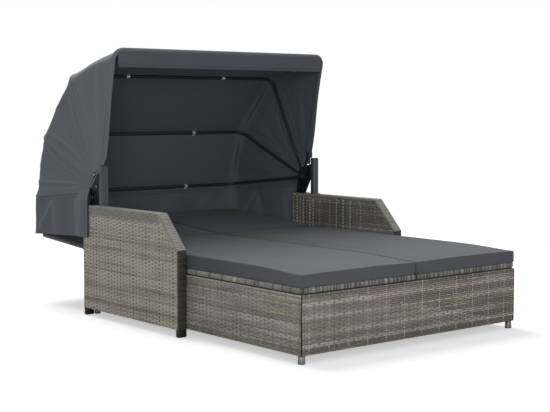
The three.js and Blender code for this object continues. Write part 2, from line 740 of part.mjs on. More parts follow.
function clothShell(outerPoint, across, along, flatten = (normal) => normal) {
	const positions = [];
	const index = [];
	const small = 1 / 1024;
	const layerSize = (across + 1) * (along + 1);
	const inner = [];
	for (let j = 0; j <= along; j++) {
		for (let i = 0; i <= across; i++) {
			const [u, v] = [i / across, j / along];
			const point = outerPoint(u, v);
			const du = outerPoint(Math.min(u + small, 1), v).sub(outerPoint(Math.max(u - small, 0), v));
			const dv = outerPoint(u, Math.min(v + small, 1)).sub(outerPoint(u, Math.max(v - small, 0)));
			const normal = flatten(du.cross(dv).normalize(), point);
			positions.push(...point.toArray());
			inner.push(...point.addScaledVector(normal, -clothThickness).toArray());
		}
	}
	const quad = (a, b, c, d) => index.push(a, b, c, a, c, d);
	const at = (i, j) => j * (across + 1) + i;
	for (let j = 0; j < along; j++) {
		for (let i = 0; i < across; i++) {
			const [a, b, c, d] = [at(i, j), at(i + 1, j), at(i + 1, j + 1), at(i, j + 1)];
			quad(a, b, c, d);
			quad(d + layerSize, c + layerSize, b + layerSize, a + layerSize);
		}
	}
	const rim = [];
	for (let i = 0; i < across; i++) rim.push(at(i, 0));
	for (let j = 0; j < along; j++) rim.push(at(across, j));
	for (let i = across; i > 0; i--) rim.push(at(i, along));
	for (let j = along; j > 0; j--) rim.push(at(0, j));
	rim.forEach((a, k) => {
		const b = rim[(k + 1) % rim.length];
		quad(a, a + layerSize, b + layerSize, b);
	});
	const geometry = new THREE.BufferGeometry();
	geometry.setAttribute('position', new THREE.Float32BufferAttribute([...positions, ...inner], 3));
	geometry.setIndex(index);
	return geometry;
}

const clothHalfWidth = bowHalfWidth + clothSideOffset;
const clothBend = bowBend + clothSideOffset;

// Place on the U-shaped section of the canopy: up the left side, across, and down the right side
const sideShare = 0.2;
const bendShare = 0.12;

function section(share, low, high, halfWidth) {
	const mirrored = share > 1 / 2;
	const s = mirrored ? 1 - share : share;
	let x;
	let height;
	if (s < sideShare) {
		x = -halfWidth;
		height = lerp(low, high - clothBend, s / sideShare);
	} else if (s < sideShare + bendShare) {
		const turn = (s - sideShare) / bendShare * Math.PI / 2;
		x = -halfWidth + clothBend * (1 - Math.cos(turn));
		height = high - clothBend + clothBend * Math.sin(turn);
	} else {
		x = lerp(-halfWidth + clothBend, 0, (s - sideShare - bendShare) / (1 / 2 - sideShare - bendShare));
		height = high;
	}
	return [mirrored ? -x : x, height];
}

// Places grid columns where the section bends: a count of columns for each span
function spread(u, counts, spans) {
	let place = u * counts.reduce((sum, next) => sum + next);
	let start = 0;
	for (const [k, count] of counts.entries()) {
		if (place <= count || k === counts.length - 1) {
			return start + Math.min(place / count, 1) * spans[k];
		}
		place -= count;
		start += spans[k];
	}
	return start;
}

const sectionCounts = [3, 5, 6, 5, 3];
const sectionShares = [sideShare, bendShare, 1 - 2 * (sideShare + bendShare), bendShare, sideShare];
const gridShare = (u) => spread(u, sectionCounts, sectionShares);

const canopySpread = fromPivot(frontCorner).angle - fromPivot(rearCorner).angle;

// Keeps a gore's edges in the planes of its bows
function inBowPlane(normal, point) {
	const { angle } = fromPivot([point.y, point.z]);
	const turning = new THREE.Vector3(0, -Math.sin(angle), Math.cos(angle));
	return normal.addScaledVector(turning, -normal.dot(turning)).normalize();
}

function gore(front, rear) {
	const chord = Math.hypot(front[0] - rear[0], front[1] - rear[1]);
	const trim = fitGap / chord;
	return clothShell((u, v) => {
		const along = lerp(trim, 1 - trim, v);
		const wave = Math.sin(along * Math.PI) ** 2;
		const edge = [lerp(front[0], rear[0], along), lerp(front[1], rear[1], along)];
		const { reach, angle } = fromPivot(edge);
		const turned = (fromPivot(frontCorner).angle - angle) / canopySpread;
		const low = lerp(cutoutAtFront, cutoutAtRear, turned);
		const [x, height] = section(gridShare(u), low, reach, clothHalfWidth);
		const topness = smooth(height, low, reach) * smooth(clothHalfWidth - Math.abs(x), 0, clothBend * 3);
		const sideness = smooth(height, low, reach * 0.6) * (1 - topness);
		const sagged = height - clothSag * wave * topness;
		const inward = Math.sign(x) * sideSag * wave * sideness * smooth(Math.abs(x), clothHalfWidth / 2, clothHalfWidth);
		return new THREE.Vector3(x - inward, pivotY + sagged * Math.cos(angle), pivotZ + sagged * Math.sin(angle));
	}, sectionCounts.reduce((sum, next) => sum + next), 4, inBowPlane);
}

add(daybed, 'front_gore', gore(frontCorner, secondCorner), materials.canopy);
add(daybed, 'middle_gore', gore(secondCorner, thirdCorner), materials.canopy);
add(daybed, 'rear_gore', gore(thirdCorner, rearCorner), materials.canopy);

// Valance on the front of the front bow

const valanceHalfWidth = bowHalfWidth - valanceSideGap;

add(daybed, 'valance', clothShell((u, v) => new THREE.Vector3(
	lerp(-valanceHalfWidth, valanceHalfWidth, u),
	frontCorner[0] - valanceStandOff - clothThickness - valanceWave * (1 - v) * Math.sin(u * Math.PI * 7),
	frontCorner[1] - valanceTopDrop - valanceDrop * (1 - v),
), 18, 2), materials.canopy);

// Skirt round the rear bow

const foldShares = [[0.07, 0.03], [0.23, 0.03], [0.42, 0.05], [0.64, 0.04], [0.84, 0.05]]; // place and width
const rearBowSlope = (rearCorner[1] - pivotZ) / (rearCorner[0] - pivotY);
const flareFullShare = 1 / 3;

const armDropShare = (skirtFrontTop - armRear) / (skirtFrontTop - skirtFrontBottom);
const armFlare = armOuter + clothThickness + skirtArmGap - clothHalfWidth - skirtFlare * armDropShare;

function skirtHem(y) {
	const share = (y - skirtFrontBottom) / (rearCorner[0] - skirtFrontBottom);
	return pivotZ - lerp(skirtHemFrontDrop, skirtHemRearDrop, share);
}

function folds(share) {
	return foldShares.reduce((sum, [middle, width]) => sum + Math.exp(-(((share - middle) / width) ** 2)), 0);
}

function skirtPoint(x, y, outX, outY, drop, fold) {
	const top = pivotZ + (y - pivotY) * rearBowSlope - skirtTopDrop;
	const nearArm = 1 - smooth(y, armRear, armRear + armFlareFade);
	const stand = skirtFlare * drop + fold * skirtFold * drop
		+ armFlare * nearArm * Math.abs(outX) * Math.sin(Math.min(drop / flareFullShare, 1) * Math.PI / 2);
	return new THREE.Vector3(x + outX * stand, y + outY * stand, lerp(top, skirtHem(y), drop));
}

const skirtSideEnd = rearCorner[0] - skirtCorner;
const halfSkirtCounts = [11, 5, 6];
const halfSkirtShares = [0.5, 0.08, 0.42]; // side, corner and half of the rear

add(daybed, 'skirt', clothShell((u, drop) => {
	const side = u > 1 / 2 ? 1 : -1;
	const [sideSpan, cornerSpan, rearSpan] = halfSkirtShares;
	const s = spread(2 * Math.min(u, 1 - u), halfSkirtCounts, halfSkirtShares);
	if (s <= sideSpan) {
		const front = lerp(skirtFrontTop, skirtFrontBottom, drop);
		const y = lerp(front, skirtSideEnd, s / sideSpan);
		return skirtPoint(side * clothHalfWidth, y, side, 0, drop, folds(s));
	}
	const turn = Math.min((s - sideSpan) / cornerSpan, 1) * Math.PI / 2;
	const flat = Math.max(s - sideSpan - cornerSpan, 0) / rearSpan;
	const cornerX = clothHalfWidth - skirtCorner + skirtCorner * Math.cos(turn);
	return skirtPoint(side * lerp(cornerX, 0, flat), skirtSideEnd + skirtCorner * Math.sin(turn),
		side * Math.cos(turn), Math.sin(turn), drop, folds(s));
}, 2 * halfSkirtCounts.reduce((sum, next) => sum + next), 5), materials.canopy);

// Origin in the middle of the bed, on the floor
const bounds = new THREE.Box3().setFromObject(daybed);
daybed.position.y = -(bounds.min.y + bounds.max.y) / 2;

export default daybed;
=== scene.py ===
import math
import random

import bmesh
import bpy
import numpy as np
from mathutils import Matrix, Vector, noise
from mathutils.bvhtree import BVHTree


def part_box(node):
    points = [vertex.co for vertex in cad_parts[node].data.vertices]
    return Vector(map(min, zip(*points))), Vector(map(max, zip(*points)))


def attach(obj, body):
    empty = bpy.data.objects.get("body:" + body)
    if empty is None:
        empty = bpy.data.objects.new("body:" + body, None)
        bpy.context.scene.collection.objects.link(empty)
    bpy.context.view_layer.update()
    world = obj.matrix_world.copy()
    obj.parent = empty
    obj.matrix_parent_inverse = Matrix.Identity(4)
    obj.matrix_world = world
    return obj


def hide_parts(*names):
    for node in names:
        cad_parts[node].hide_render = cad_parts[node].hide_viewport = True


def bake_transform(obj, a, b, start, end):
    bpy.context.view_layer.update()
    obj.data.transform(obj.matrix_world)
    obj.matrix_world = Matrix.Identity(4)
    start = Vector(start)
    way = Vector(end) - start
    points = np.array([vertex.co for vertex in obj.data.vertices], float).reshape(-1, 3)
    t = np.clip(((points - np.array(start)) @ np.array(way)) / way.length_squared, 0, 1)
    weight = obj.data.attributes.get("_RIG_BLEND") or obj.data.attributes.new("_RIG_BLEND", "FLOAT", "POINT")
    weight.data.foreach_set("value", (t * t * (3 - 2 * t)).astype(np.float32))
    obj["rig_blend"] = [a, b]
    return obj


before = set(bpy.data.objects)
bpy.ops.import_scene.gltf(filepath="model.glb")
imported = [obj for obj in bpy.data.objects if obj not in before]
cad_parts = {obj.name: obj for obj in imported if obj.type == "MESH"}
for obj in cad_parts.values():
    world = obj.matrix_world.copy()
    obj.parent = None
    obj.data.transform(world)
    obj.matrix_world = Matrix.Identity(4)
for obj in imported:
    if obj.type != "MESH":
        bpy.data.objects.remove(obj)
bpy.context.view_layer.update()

# Outdoor daybed with a folding canopy. Metres, +Z up, the foot end towards -Y.


def say(text):
    print("daybed:", text)


# Places that every piece is worked out from

baseLow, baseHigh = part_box("base_weave")
frontY = baseLow.y
rearY = baseHigh.y
halfBed = baseHigh.x
boltLow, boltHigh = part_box("left_pivot_bolt")
pivotY = (boltLow.y + boltHigh.y) / 2
pivotZ = (boltLow.z + boltHigh.z) / 2
rodLow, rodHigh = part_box("left_hinge_rod")
hingeY = rodLow.y / 2 + rodHigh.y / 2
hingeZ = rodLow.z / 2 + rodHigh.z / 2
sides = {"left": -1, "right": 1}


# Short ways to add and link shader nodes

def feed(tree, socket, value):
    # A socket takes what another node puts out, or a plain value
    if isinstance(value, bpy.types.NodeSocket):
        tree.links.new(value, socket)
    else:
        socket.default_value = value


def addMath(tree, operation, *values):
    node = tree.nodes.new("ShaderNodeMath")
    node.operation = operation
    for socket, value in zip(node.inputs, values):
        feed(tree, socket, value)
    return node.outputs[0]


def addVectorMath(tree, operation, *values, scale=None):
    node = tree.nodes.new("ShaderNodeVectorMath")
    node.operation = operation
    for socket, value in zip(node.inputs, values):
        feed(tree, socket, value)
    if scale is not None:
        feed(tree, node.inputs["Scale"], scale)
    return node.outputs[0]


def mixColors(tree, share, first, second, kind="MIX"):
    # Sockets 0, 6 and 7 of a colour mix are its share and its two colours, and output 2 is the result
    node = tree.nodes.new("ShaderNodeMix")
    node.data_type = "RGBA"
    node.blend_type = kind
    for socket, value in ((0, share), (6, first), (7, second)):
        feed(tree, node.inputs[socket], value)
    return node.outputs[2]


def addRange(tree, value, low, high, start=0, end=1):
    # What runs from start to end comes out from low to high
    node = tree.nodes.new("ShaderNodeMapRange")
    for socket, number in (("From Min", start), ("From Max", end), ("To Min", low), ("To Max", high)):
        node.inputs[socket].default_value = number
    tree.links.new(value, node.inputs["Value"])
    return node.outputs[0]


# Camera, lights and floor

view = {
    "place": (-3.46459, -3.33711, 0.945775),  # from the front of the base
    "yaw": 39.402,
    "pitch": 4.663,
    "lens": 79.72,
    "sensor": 36,
}
studio = {
    "world": 0.27,
    "overhead": {"place": (0.2, 1.9, 4.3), "aim": (0, -0.3, 0.3), "size": 3.0, "power": 150},
    "frontLeft": {"place": (-3.6, -4.6, 1.4), "aim": (0, -0.2, 0.5), "size": 2.4, "power": 85},
    "floorSize": 6.4,
    "floorSeen": 0.97,
    "floorGlow": 0.5,
    "floorBounce": 0.42,
}


def addCamera():
    data = bpy.data.cameras.new("camera")
    data.lens = view["lens"]
    data.sensor_width = view["sensor"]
    camera = bpy.data.objects.new("camera", data)
    x, y, z = view["place"]
    camera.location = (x, y + frontY, z)
    camera.rotation_euler = (math.radians(90 - view["pitch"]), 0, -math.radians(view["yaw"]))
    bpy.context.scene.collection.objects.link(camera)
    bpy.context.scene.camera = camera


def addLamp(name, place, aim, size, power):
    data = bpy.data.lights.new(name, "AREA")
    data.shape = "SQUARE"
    data.size = size
    data.energy = power
    lamp = bpy.data.objects.new(name, data)
    lamp.location = place
    lamp.rotation_euler = (Vector(aim) - Vector(place)).to_track_quat("-Z", "Y").to_euler()
    bpy.context.scene.collection.objects.link(lamp)


def addWorld():
    world = bpy.data.worlds.new("studio")
    bpy.context.scene.world = world
    world.use_nodes = True
    tree = world.node_tree
    background = tree.nodes["Background"]
    background.inputs["Color"].default_value = (1, 1, 1, 1)
    path = tree.nodes.new("ShaderNodeLightPath")
    seen = addMath(tree, "MAXIMUM", path.outputs["Is Camera Ray"], path.outputs["Is Glossy Ray"])
    seen = addMath(tree, "MAXIMUM", seen, path.outputs["Is Transmission Ray"])
    tree.links.new(addRange(tree, seen, studio["world"], 1), background.inputs["Strength"])


def addFloor():
    half = studio["floorSize"] / 2
    mesh = bpy.data.meshes.new("floor")
    places = [(-half, -half, 0), (half, -half, 0), (half, half, 0), (-half, half, 0)]
    mesh.from_pydata(places, [], [(0, 1, 2, 3)])
    floor = bpy.data.objects.new("floor", mesh)
    bpy.context.scene.collection.objects.link(floor)
    material = bpy.data.materials.new("paleFloor")
    material.use_nodes = True
    tree = material.node_tree
    shader = tree.nodes["Principled BSDF"]
    shader.inputs["Roughness"].default_value = 1
    shader.inputs["Specular IOR Level"].default_value = 0
    path = tree.nodes.new("ShaderNodeLightPath")
    seen = path.outputs["Is Camera Ray"]
    for socket, bounced, shown in (("Base Color", studio["floorBounce"], studio["floorSeen"]),
                                   ("Emission Color", 0, studio["floorGlow"])):
        color = mixColors(tree, seen, (bounced,) * 3 + (1,), (shown,) * 3 + (1,))
        tree.links.new(color, shader.inputs[socket])
    shader.inputs["Emission Strength"].default_value = 1
    mesh.materials.append(material)


addCamera()
addLamp("overhead", **studio["overhead"])
addLamp("frontLeft", **studio["frontLeft"])
addWorld()
addFloor()
bpy.context.scene.view_settings.view_transform = "Standard"
say("camera, lamps and floor")


# Colours are written as they look on screen, 0 to 255

def linear(*levels):
    return tuple(((c / 255 + 0.055) / 1.055) ** 2.4 if c > 10 else c / 255 / 12.92 for c in levels)


# Effects that several finishes share

def newGroup(name, inputs, outputs):
    group = bpy.data.node_groups.new(name, "ShaderNodeTree")
    for socket, kind, value in inputs:
        made = group.interface.new_socket(socket, in_out="INPUT", socket_type=kind)
        made.default_value = value
    for socket, kind in outputs:
        group.interface.new_socket(socket, in_out="OUTPUT", socket_type=kind)
    start = group.nodes.new("NodeGroupInput")
    end = group.nodes.new("NodeGroupOutput")
    return group, start, end


threadRules = {
    "unevenScale": 220,
    "uneven": 9,  # how far the noise shifts the threads, as an angle of their waves
    "span": 2.5,  # the three waves together run from minus this to this
}


def makeClothThreads():
    # Fine crossed threads from bands along the three axes
    group, start, end = newGroup(
        "clothThreads",
        [("Color", "NodeSocketColor", (0.5, 0.5, 0.5, 1)), ("Thread", "NodeSocketFloat", 0.0009),
         ("Contrast", "NodeSocketFloat", 0.25)],
        [("Color", "NodeSocketColor"), ("Height", "NodeSocketFloat")])
    place = group.nodes.new("ShaderNodeTexCoord").outputs["Object"]
    turn = addMath(group, "DIVIDE", 2 * math.pi, start.outputs["Thread"])
    scaled = addVectorMath(group, "SCALE", place, scale=turn)
    uneven = group.nodes.new("ShaderNodeTexNoise")
    uneven.inputs["Scale"].default_value = threadRules["unevenScale"]
    group.links.new(place, uneven.inputs["Vector"])
    amount = (threadRules["uneven"],) * 3
    shifted = addVectorMath(group, "MULTIPLY_ADD", uneven.outputs["Color"], amount, scaled)
    waves = group.nodes.new("ShaderNodeSeparateXYZ")
    group.links.new(addVectorMath(group, "SINE", shifted), waves.inputs[0])
    together = addMath(group, "ADD", waves.outputs[0], waves.outputs[1])
    together = addMath(group, "ADD", together, waves.outputs[2])
    height = addRange(group, together, 0, 1, -threadRules["span"], threadRules["span"])
    shade = mixColors(group, start.outputs["Contrast"], start.outputs["Color"], height, "MULTIPLY")
    group.links.new(shade, end.inputs["Color"])
    group.links.new(height, end.inputs["Height"])
    return group


def makeMottle():
    # Soft patches, lighter and darker than the colour that comes in
    group, start, end = newGroup(
        "mottle",
        [("Color", "NodeSocketColor", (0.5, 0.5, 0.5, 1)), ("Scale", "NodeSocketFloat", 8.0),
         ("Amount", "NodeSocketFloat", 0.2), ("Detail", "NodeSocketFloat", 3.0)],
        [("Color", "NodeSocketColor"), ("Value", "NodeSocketFloat")])
    place = group.nodes.new("ShaderNodeTexCoord").outputs["Object"]
    patches = group.nodes.new("ShaderNodeTexNoise")
    group.links.new(place, patches.inputs["Vector"])
    group.links.new(start.outputs["Scale"], patches.inputs["Scale"])
    group.links.new(start.outputs["Detail"], patches.inputs["Detail"])
    centred = addMath(group, "SUBTRACT", patches.outputs["Fac"], 0.5)
    strength = addMath(group, "MULTIPLY_ADD", centred, start.outputs["Amount"], 1)
    tinted = addVectorMath(group, "SCALE", start.outputs["Color"], scale=strength)
    group.links.new(tinted, end.inputs["Color"])
    group.links.new(patches.outputs["Fac"], end.inputs["Value"])
    return group


clothThreads = makeClothThreads()
mottle = makeMottle()


def newFinish(name, roughness, metallic=0, specular=0.5, sheen=0):
    material = bpy.data.materials.new(name)
    material.use_nodes = True
    shader = material.node_tree.nodes["Principled BSDF"]
    shader.inputs["Roughness"].default_value = roughness
    shader.inputs["Metallic"].default_value = metallic
    shader.inputs["Specular IOR Level"].default_value = specular
    shader.inputs["Sheen Weight"].default_value = sheen
    return material, material.node_tree, shader


def placeGroup(tree, group, values):
    node = tree.nodes.new("ShaderNodeGroup")
    node.node_tree = group
    for socket, value in values.items():
        node.inputs[socket].default_value = value
    return node


# How the finishes of each kind vary over a surface
# range is the roughness itself for cloth, and a change of it for the others
cloth = {"roughness": 0.85, "specular": 0.25, "contrast": 0.16, "range": (0.78, 0.95), "relief": 0.0001}
strip = {"specular": 0.4, "grain": 900, "amount": 0.35, "detail": 2, "range": (-0.1, 0.12), "relief": 0.0002}
coating = {"patch": 14, "detail": 4, "speckle": 0.2, "speckleDetail": 2, "range": (-0.08, 0.1),
           "relief": 0.0001}
bumpStrength = 0.5


def bump(tree, shader, height, distance):
    node = tree.nodes.new("ShaderNodeBump")
    node.inputs["Distance"].default_value = distance
    node.inputs["Strength"].default_value = bumpStrength
    tree.links.new(height, node.inputs["Height"])
    tree.links.new(node.outputs["Normal"], shader.inputs["Normal"])


def toneFromMesh(tree):
    node = tree.nodes.new("ShaderNodeAttribute")
    node.attribute_name = "tone"
    return node.outputs["Color"]


def makeCloth(name, color, thread, patch, amount, sheen):
    material, tree, shader = newFinish(name, cloth["roughness"], specular=cloth["specular"], sheen=sheen)
    patches = placeGroup(tree, mottle, {"Color": linear(*color) + (1,), "Scale": patch, "Amount": amount})
    threads = placeGroup(tree, clothThreads, {"Thread": thread, "Contrast": cloth["contrast"]})
    tree.links.new(patches.outputs["Color"], threads.inputs["Color"])
    shaded = mixColors(tree, 1, threads.outputs["Color"], toneFromMesh(tree), "MULTIPLY")
    tree.links.new(shaded, shader.inputs["Base Color"])
    tree.links.new(addRange(tree, patches.outputs["Value"], *cloth["range"]), shader.inputs["Roughness"])
    bump(tree, shader, threads.outputs["Height"], cloth["relief"])
    return material


def makeWicker(name, roughness):
    # The colour of each strip is kept on the mesh, the grain along it comes from here
    material, tree, shader = newFinish(name, roughness, specular=strip["specular"])
    grain = placeGroup(tree, mottle, {"Scale": strip["grain"], "Amount": strip["amount"],
                                      "Detail": strip["detail"]})
    tree.links.new(toneFromMesh(tree), grain.inputs["Color"])
    tree.links.new(grain.outputs["Color"], shader.inputs["Base Color"])
    low, high = (roughness + change for change in strip["range"])
    tree.links.new(addRange(tree, grain.outputs["Value"], low, high), shader.inputs["Roughness"])
    bump(tree, shader, grain.outputs["Value"], strip["relief"])
    return material


def makeCoated(name, color, roughness, metallic, grain, amount, specular=0.5):
    material, tree, shader = newFinish(name, roughness, metallic=metallic, specular=specular)
    patches = placeGroup(tree, mottle, {"Color": linear(*color) + (1,), "Scale": coating["patch"],
                                        "Amount": amount, "Detail": coating["detail"]})
    speckle = placeGroup(tree, mottle, {"Scale": grain, "Amount": coating["speckle"],
                                        "Detail": coating["speckleDetail"]})
    tree.links.new(patches.outputs["Color"], speckle.inputs["Color"])
    tree.links.new(speckle.outputs["Color"], shader.inputs["Base Color"])
    low, high = (roughness + change for change in coating["range"])
    tree.links.new(addRange(tree, patches.outputs["Value"], low, high), shader.inputs["Roughness"])
    bump(tree, shader, speckle.outputs["Value"], coating["relief"])
    return material


finishes = {
    "wicker": makeWicker("wovenStrip", 0.5),
    "pad": makeCloth("padCloth", (106, 110, 117), 0.0011, 5, 0.14, 0.1),
    "canopy": makeCloth("canopyCloth", (117, 124, 131), 0.0008, 4, 0.16, 0.1),
    "tube": makeCoated("coatedTube", (52, 54, 58), 0.5, 0.1, 1500, 0.25, 0.3),
    "darkTube": makeCoated("hiddenTube", (46, 44, 41), 0.6, 0, 1200, 0.25),
    "post": makeCoated("coatedPost", (74, 78, 84), 0.42, 0.2, 1600, 0.2, 0.35),
    "bracket": makeCoated("blackPlate", (32, 35, 42), 0.5, 0, 1500, 0.25, 0.12),
    "steel": makeCoated("brightSteel", (188, 190, 193), 0.28, 0.9, 700, 0.2),
    "dullSteel": makeCoated("dullSteel", (96, 98, 102), 0.5, 0.6, 700, 0.2),
    "plastic": makeCoated("blackPlastic", (34, 34, 35), 0.5, 0, 900, 0.3),
    "legGrey": makeCoated("greyCoat", (140, 141, 141), 0.4, 0.3, 1300, 0.25),
    "snap": makeCoated("paleSnap", (240, 241, 243), 0.3, 0.6, 600, 0.1),
}
say("finishes")


# Mesh helpers

def makePiece(name, points, faces, finish, body, slot, tones=None):
    mesh = bpy.data.meshes.new(name)
    mesh.from_pydata(np.asarray(points, float).tolist(), [], np.asarray(faces).tolist())
    mesh.polygons.foreach_set("use_smooth", np.ones(len(mesh.polygons), bool))
    mesh.update()
    piece = bpy.data.objects.new(name, mesh)
    bpy.context.scene.collection.objects.link(piece)
    setTones(piece, tones)
    mesh.materials.append(finishes[finish])
    if body:
        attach(piece, body)
    return piece


def setTones(piece, tones=None):
    count = len(piece.data.vertices)
    colors = np.ones((count, 4))
    if tones is not None:
        colors[:, :3] = tones
    attributes = piece.data.attributes
    layer = attributes.get("tone") or attributes.new("tone", "FLOAT_COLOR", "POINT")
    layer.data.foreach_set("color", colors.astype(np.float32).ravel())


def newBundle():
    return {"points": [], "faces": [], "tones": [], "count": 0}


# A strip or rod: its section, with an even number of corners, is carried along the path
def addStrip(bundle, path, across, outward, section, tones, closed=False):
    path, across, outward, section = (np.asarray(a, float) for a in (path, across, outward, section))
    steps, corners = len(path), section.shape[-2]
    wide = section[..., 0:1] if section.ndim == 3 else section[None, :, 0:1]
    deep = section[..., 1:2] if section.ndim == 3 else section[None, :, 1:2]
    points = path[:, None, :] + across[:, None, :] * wide + outward[:, None, :] * deep
    start = bundle["count"]
    i = np.arange(steps if closed else steps - 1)[:, None]
    j = np.arange(corners)[None, :]
    near, far = i * corners, ((i + 1) % steps) * corners
    beside = (j + 1) % corners
    quads = np.stack([near + j, near + beside, far + beside, far + j], axis=-1).reshape(-1, 4)
    faces = [quads + start]
    if not closed:
        last = (steps - 1) * corners
        for k in range(1, corners - 1, 2):
            faces.append(np.array([[0, k + 2, k + 1, k]]) % corners + start)
            faces.append(np.array([[0, k, k + 1, k + 2]]) % corners + last + start)
    bundle["points"].append(points.reshape(-1, 3))
    bundle["faces"] += faces
    tones = np.broadcast_to(np.asarray(tones, float), (steps, 3))
    bundle["tones"].append(np.repeat(tones, corners, axis=0))
    bundle["count"] += steps * corners


def pieceFromBundle(name, bundle, finish, body, slot):
    points, faces, tones = (np.concatenate(bundle[part]) for part in ("points", "faces", "tones"))
    return makePiece(name, points, faces, finish, body, slot, tones)


def ellipse(wide, deep, corners):
    turns = np.arange(corners) / corners * 2 * math.pi
    return np.stack([np.cos(turns) * wide, np.sin(turns) * deep], axis=-1)


def flatStrip(width, thickness):
    # A flat back and a narrower front
    half, thin = width / 2, thickness / 2
    front = half * 0.55
    return np.array([[-half, -thin], [half, -thin], [front, thin], [-front, thin]])


def smoothStep(value, low, high):
    t = np.clip((value - low) / (high - low), 0, 1)
    return t * t * (3 - 2 * t)


def bell(value, width):
    return math.exp(-(value / width) ** 2)


# Tones of the woven strips

wickerTones = {
    "middle": linear(168, 159, 149),
    "light": linear(206, 200, 190),
    "dark": linear(128, 121, 113),
    "pink": linear(172, 151, 145),
    "olive": linear(156, 156, 130),
    "grey": linear(158, 158, 155),
    # painted shade: the tone of woven faces that lie in shade
    "shade": linear(72, 71, 62),
}


def mixTones(a, b, share):
    share = np.asarray(share)[..., None]
    return np.asarray(a) * (1 - share) + np.asarray(b) * share


stripPatches = {
    "length": 0.16,  # along a strip
    "rows": 5,
    "hueLonger": 1.6,
    "lightShorter": 2,
    "lightPerRow": 0.9,
    "rowStep": 0.71,
    "zoneLevel": 0.4,
    "lightLevel": 0.65,
    "rowLevel": 0.55,
    # how fast a tone comes in, and the most of it
    "pink": (3.6, 0.9),
    "olive": (3.4, 0.85),
    "oliveFrom": 0.2,
    "light": (1.5, 1),
    "dark": (1.4, 0.9),
}


def noiseAlong(spots, row, seed):
    return np.array([noise.noise(Vector((s, row, seed))) for s in spots])


def towards(tones, kind, level):
    rate, most = stripPatches[kind]
    return mixTones(tones, wickerTones[kind], np.clip(level * rate, 0, most))


def stripTones(seed, row, places, lift):
    # Patches of hue and of light along a strip, and a level for its row
    spots = np.asarray(places) / stripPatches["length"]
    zone = noiseAlong(spots, row / stripPatches["rows"], seed)
    hue = noiseAlong(spots / stripPatches["hueLonger"], row / stripPatches["rows"], seed + 31)
    light = noiseAlong(spots / stripPatches["lightShorter"], row * stripPatches["lightPerRow"], seed + 57)
    whole = noise.noise(Vector((seed + 5.3, row * stripPatches["rowStep"], 3.7)))
    tones = towards(wickerTones["middle"], "pink", hue)
    tones = towards(tones, "olive", -hue - stripPatches["oliveFrom"] / stripPatches["olive"][0])
    level = light * stripPatches["lightLevel"] + zone * stripPatches["zoneLevel"]
    level += whole * stripPatches["rowLevel"] + lift
    return towards(towards(tones, "light", level), "dark", -level)


# Woven panels: flat strips over and under upright stakes

weave = {
    "rowPitch": 0.00785,
    "stakePitch": 0.025,
    "stripWidth": 0.0074,
    "stakeWidth": 0.0064,
    "step": 0.005,
    "thickness": 0.0008,
    "edge": 0.012,  # from a row's ends, where it may be lighter
    "dive": (-1.0, -0.65),  # part of the wave in which a strip runs behind a stake and gets painted shade
    "marked": 4,  # every fourth stake is marked
    "stakeShare": 0.35,  # how light a plain stake is, from dark to light
    "dim": (0.2, 0.6),  # a marked stake that is darker than this gets this share of its tone
    "wideStake": 1.5,
    "stakeClear": 0.003,  # from a row's ends
    "stakeLevel": 0.85,
    "stakeUneven": (0.4, 9, 14),  # amount, and how fast it changes along a panel and up it
}
# What a panel has unless it says otherwise
plainLook = {
    "relief": 0.0006,
    "seed": 0,
    "gap": 0.6,  # share of its tone that a strip keeps where it dives behind a stake, the rest is painted shade
    "edgeLight": 0,
    "marks": 0.3,  # how light the marked stakes are
    "lightStakes": {},  # stakes with a lightness of their own, by number
    "tint": (1, 1, 1),
}


def weaveRow(bundle, row, places, panel, look, lift):
    origin, along, up, outward, level, section, stakeStep = panel
    wave = np.cos(math.pi * (places / stakeStep - 0.5) + math.pi * row)
    bulge = look["relief"] * wave * (1.5 - 0.5 * wave ** 2)
    path = origin + np.outer(places, along) + up * level + np.outer(bulge, outward)
    # painted shade where a strip dives behind a stake
    keep = look["gap"] + (1 - look["gap"]) * smoothStep(wave, *weave["dive"])
    ends = np.minimum(places - places[0], places[-1] - places)
    edges = 1 + look["edgeLight"] * (ends < weave["edge"])
    tones = stripTones(look["seed"], row, places, lift) * keep[:, None] * edges[:, None] * look["tint"]
    addStrip(bundle, path, np.tile(up, (len(path), 1)), np.tile(outward, (len(path), 1)), section, tones)


def stakeTones(number, place, levels, look):
    lightStakes = look["lightStakes"]
    marked = number % weave["marked"] == 1 and not lightStakes
    share = look["marks"] if marked else lightStakes.get(number, weave["stakeShare"])
    tone = mixTones(wickerTones["dark"], wickerTones["light"], share) * look["tint"]
    amount, along, up = weave["stakeUneven"]
    spots = [Vector((place * along, z * up, look["seed"])) for z in levels]
    tones = np.array([tone * (weave["stakeLevel"] + amount * noise.noise(spot)) for spot in spots])
    darkest, dimmed = weave["dim"]
    return tones * (dimmed if marked and look["marks"] < darkest else 1)


